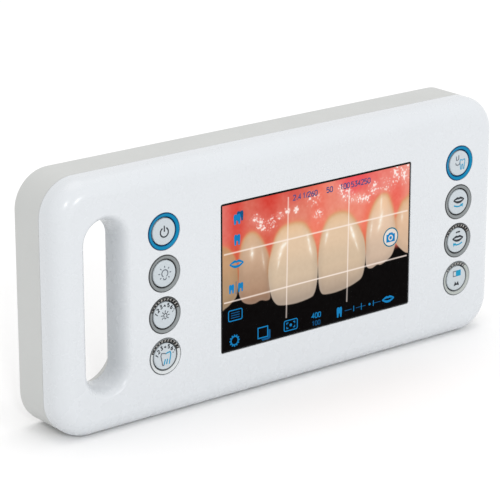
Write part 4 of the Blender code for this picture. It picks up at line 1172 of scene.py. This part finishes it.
def icon_shapes():
    """The marks round the edge of the picture, by material."""
    marks = {name: [] for name in ("icon_blue", "icon_dim", "icon_pale", "readout", "icon_teal")}

    def at(u, v, shapes, kind="icon_blue"):
        marks[kind] += shifted(shapes, across(u), down(v))

    def lines(width, *runs):
        return [strip(run, width) for run in runs]

    at(0.097, 0.102, [molar(3.7, 4.6)], "icon_dim")
    at(0.082, 0.120, [molar(3.9, 4.7)])
    at(0.082, 0.256, [molar(3.5, 4.9)])
    at(0.079, 0.416, [lips(7.9, 3.7)])
    at(0.053, 0.578, [molar(2.9, 4.2)])
    at(0.099, 0.578, [molar(2.9, 4.2)])
    at(0.076, 0.576, lines(0.3, [(0, 3.0), (0, -3.0)]), "icon_dim")
    box = [strip(rounded_rectangle(0, 0, 7.6, 4.9, 0.8, 4), 0.45, True)]
    at(0.072, 0.758, box)
    at(0.072, 0.758, lines(0.42, *([(-2.4, z), (2.4, z)] for z in (-1.1, 0.0, 1.1))), "icon_dim")
    cogs = [tau * cog / 12 for cog in range(12)]
    gear = lines(0.6, *([(r * cos(angle), r * sin(angle)) for r in (2.2, 2.85)] for angle in cogs))
    at(0.068, 0.931, [round_line(0, 0, 2.0, 0.62), *gear])
    at(0.214, 0.927, [strip([(-2.9, 2.5), (2.6, 2.5), (2.6, -2.4), (-2.9, -2.4)], 0.5, True)])
    behind = [(-1.0, -2.9), (3.0, -2.9), (3.0, 0.9), (4.2, 0.4), (4.2, -3.4), (3.2, -3.9), (-0.4, -3.9)]
    at(0.214, 0.927, [patch(behind)], "icon_dim")
    at(0.358, 0.927, box)
    signs = [(sx, sz) for sx in (-1, 1) for sz in (-1, 1)]
    corner = [(2.3, 0.5), (2.3, 1.3), (1.4, 1.3)]
    corners = lines(0.42, *([(sx * px, sz * pz) for px, pz in corner] for sx, sz in signs))
    at(0.358, 0.927, corners + [disc(0, 0, 0.7)])
    marks["icon_blue"] += numerals("400", across(0.470), down(0.923), 2.2, 0.40)
    marks["icon_dim"] += numerals("100", across(0.472), down(0.975), 2.0, 0.36)
    at(0.617, 0.930, [molar(3.1, 4.8)])
    runs = ((-8.4, -4.2), (-1.6, 4.2), (8.6, 13.4))
    at(0.722, 0.931, lines(0.3, *([(start, 0), (end, 0)] for start, end in runs)), "icon_dim")
    at(0.737, 0.931, lines(0.3, [(0, 1.6), (0, -1.6)]) + lines(0.34, [(-4.6, 1.3), (-4.6, -1.3)]))
    at(0.737, 0.931, [disc(5.0, 0, 0.6)] + lines(0.34, [(7.3, 1.3), (7.3, -1.3)]))
    at(0.885, 0.930, [lips(7.4, 3.2)])
    at(*SHUTTER, [disc(0, 0, 4.2, 40)], "icon_pale")
    at(*SHUTTER, [round_line(0, 0, 4.35, 0.6, 48)], "icon_teal")
    body = [(-2.6, 1.5), (-1.5, 1.5), (-1.0, 2.2), (1.0, 2.2)]
    body += [(1.5, 1.5), (2.6, 1.5), (2.6, -2.3), (-2.6, -2.3)]
    at(*SHUTTER, [patch(body)])
    for text, u in (("2.4", 0.368), ("1/260", 0.418), ("50", 0.543), ("100", 0.616), ("534250", 0.674)):
        marks["readout"] += numerals(text, across(u), down(0.082), 2.3, 0.5)
    return marks


def make_display():
    width, height = GLASS_HIGH.x - GLASS_LOW.x, GLASS_HIGH.z - GLASS_LOW.z
    edge = [(0.0, 0.7, GLASS_HIGH.y), (0.0, 0.7, GLASS_LOW.y + 0.1), (0.1, 0.68, GLASS_LOW.y + 0.03)]
    rings = []
    for shrink, radius, y in edge + [(0.24, 0.64, GLASS_LOW.y)]:
        outline = rounded_rectangle(DISPLAY.x, 0, width - shrink, height - shrink, radius, 8)
        rings.append(at_depth(outline, y))
    add_piece("display_glass", loft(rings), "display_black", "cover_glass", replaces="touch_glass")
    make_picture()
    marks = icon_shapes()
    kinds = list(marks)
    lens = shifted([round_line(0, -0.3, 1.1, 0.55)], across(SHUTTER[0]), down(SHUTTER[1]))
    bm = bmesh.new()

    def add_marks(kind, shapes, rise, thickness):
        plates(bm, shapes, lambda px, pz: PICTURE_Y - rise, thickness, kinds.index(kind))

    layers = [("icon_pale", 0.02, 0.03), ("readout", 0.03, 0.04), ("icon_dim", 0.03, 0.04)]
    for kind, rise, thickness in layers + [("icon_teal", 0.04, 0.05), ("icon_blue", 0.04, 0.05)]:
        add_marks(kind, marks[kind], rise, thickness)
    add_marks("icon_pale", lens, 0.05, 0.03)
    add_piece("display_icons", bm, " ".join(kinds), "lcd", weighted=False)


# ---- back and sides


def make_screws():
    head_r, head_h, shank_r = 2.7, 2.0, 1.4
    for number, node in enumerate(SCREWS, 1):
        low, high = node_box(node)
        middle, top = (low + high) / 2, high.y
        profile = [(0, top), (head_r - 0.5, top), (head_r - 0.15, top - 0.12), (head_r, top - 0.45)]
        profile += [(head_r, top - head_h), (shank_r, top - head_h), (shank_r, low.y + 0.6)]
        profile += [(shank_r - 0.4, low.y), (0, low.y)]
        obj = new_object(f"screw_{number}", turned(profile, middle.x, middle.z, 48))
        carve(obj, slab(circle(middle.x, middle.z, 1.3, 6), top - 1.2, top + OVER))
        finish_piece(obj, "steel", replaces=node)


def make_lens():
    face = node_box("lens_bezel")[1].y
    shelf, glass_r = face - 2.3, 11.6
    profile = [(15.2, face - 1.2), (15.2, face - 0.35), (14.85, face - 0.05), (14.5, face), (14.1, face)]
    for groove in range(4):
        radius, y = 13.6 - 0.42 * groove, face - 0.2 - 0.17 * groove
        profile += [(radius, y), (radius - 0.16, y + 0.02)]
    profile += [(glass_r + 0.3, face - 0.95), (glass_r + 0.3, shelf), (glass_r - 0.8, shelf)]
    profile += [(glass_r - 0.8, shelf - 1.8), (12.2, shelf - 1.8), (12.2, face - 1.2)]
    bezel = turned(profile, DISPLAY.x, 0, 128)
    add_piece("lens_ring", bezel, "black_plastic", replaces="lens_bezel")
    low, high = node_box("lens_window")
    window = [(0, high.y), (glass_r - 0.2, high.y), (glass_r, high.y - 0.2), (glass_r, low.y), (0, low.y)]
    add_piece("lens_cover", turned(window, DISPLAY.x, 0), "lens_glass", replaces="lens_window")


def make_lights():
    for side in SIDES:
        node = f"{side}_light_window"
        low, high = node_box(node)
        profile = [(0, low.y), (9.0, low.y), (9.0, high.y - 0.2), (8.8, high.y)]
        radius = 8.2
        while radius > 1.2:
            profile += [(radius, high.y), (radius - 0.1, high.y - 0.42), (radius - 1.0, high.y)]
            radius -= 1.2
        cover = turned(profile + [(0, high.y)], (low.x + high.x) / 2, 0)
        add_piece(f"{side}_lamp_cover", cover, "diffuser", replaces=node)


def make_socket():
    low, high = node_box("charge_socket")
    axis = (0, (low.y + high.y) / 2, (low.z + high.z) / 2)
    body_x, mouth_x = HOUSING_HIGH.x - WALL - GAP, high.x
    obj = new_object("power_socket", block((low.x, low.y, low.z), (body_x, high.y, high.z), 0.4))
    nose = [(0, body_x - 0.5), (2.9, body_x - 0.5), (2.9, mouth_x - 0.2), (2.7, mouth_x), (0, mouth_x)]
    # The bore leaves a contact pin standing in its middle
    bore = [(0.6, mouth_x - 8.0), (1.8, mouth_x - 8.0), (1.8, mouth_x - 0.3), (2.1, mouth_x + 0.02)]
    bore += [(2.1, mouth_x + OVER), (0.6, mouth_x + OVER)]
    carve(obj, turned_to_side(nose, *axis), "UNION")
    carve(obj, turned_to_side(bore, *axis))
    finish_piece(obj, "black_plastic", replaces="charge_socket")


# ---- studio
# The lights and the floor are placed in metres.


def aim(obj, direction):
    obj.rotation_mode = "QUATERNION"
    obj.rotation_quaternion = direction.to_track_quat("-Z", "Y")


def soft_light(name, place, size, power, colour=(1.0, 1.0, 1.0)):
    lamp = bpy.data.lights.new(name, "AREA")
    lamp.color = colour
    lamp.shape = "DISK"
    lamp.size = size
    lamp.energy = power
    obj = linked(name, lamp)
    obj.location = place
    aim(obj, Vector((0.0, 0.0, 0.06)) - obj.location)


def make_studio():
    world = bpy.data.worlds.new("studio")
    world.use_nodes = True
    set_inputs(world.node_tree.nodes["Background"], Color=(1.0, 1.0, 1.0), Strength=1.0)
    bpy.context.scene.world = world
    soft_light("key_light", (-2.05, -3.75, 2.46), 0.5, 32.0)
    soft_light("top_light", (0.5, 0.3, 3.6), 3.0, 22.0, (1.0, 0.955, 0.94))
    soft_light("low_light", (0.70, -3.36, 0.97), 0.4, 16.0)
    bm = bmesh.new()
    bmesh.ops.create_circle(bm, cap_ends=True, segments=64, radius=30.0)
    mesh = bpy.data.meshes.new("floor")
    bm.to_mesh(mesh)
    bm.free()
    paint = moulded("floor_paint", (0.90, 0.90, 0.90), 0.8, 3.0, 0.01, drift=0.003, specular=0.1, cloud=400.0)
    mesh.materials.append(paint)
    linked("floor", mesh)
    bpy.context.scene.view_settings.view_transform = "Standard"


def make_camera():
    level = Vector((sin(AZIMUTH), cos(AZIMUTH), 0.0))
    forward = level * cos(PITCH) - Vector((0.0, 0.0, sin(PITCH)))
    right = Vector((cos(AZIMUTH), -sin(AZIMUTH), 0.0))
    up = right.cross(forward)
    data = bpy.data.cameras.new("camera")
    data.lens = FOCAL_LENGTH
    data.sensor_width = 36.0
    data.clip_start = 0.05
    data.clip_end = 100.0
    camera = linked("camera", data)
    camera.location = (LIFT - right * CENTRE_RIGHT - up * CENTRE_UP - forward * DISTANCE) * MM
    aim(camera, forward)
    bpy.context.scene.camera = camera


make_camera()
make_studio()
dress_nodes()
make_front_shell()
make_rear_shell()
make_keys()
make_display()
make_screws()
make_lens()
make_lights()
make_socket()
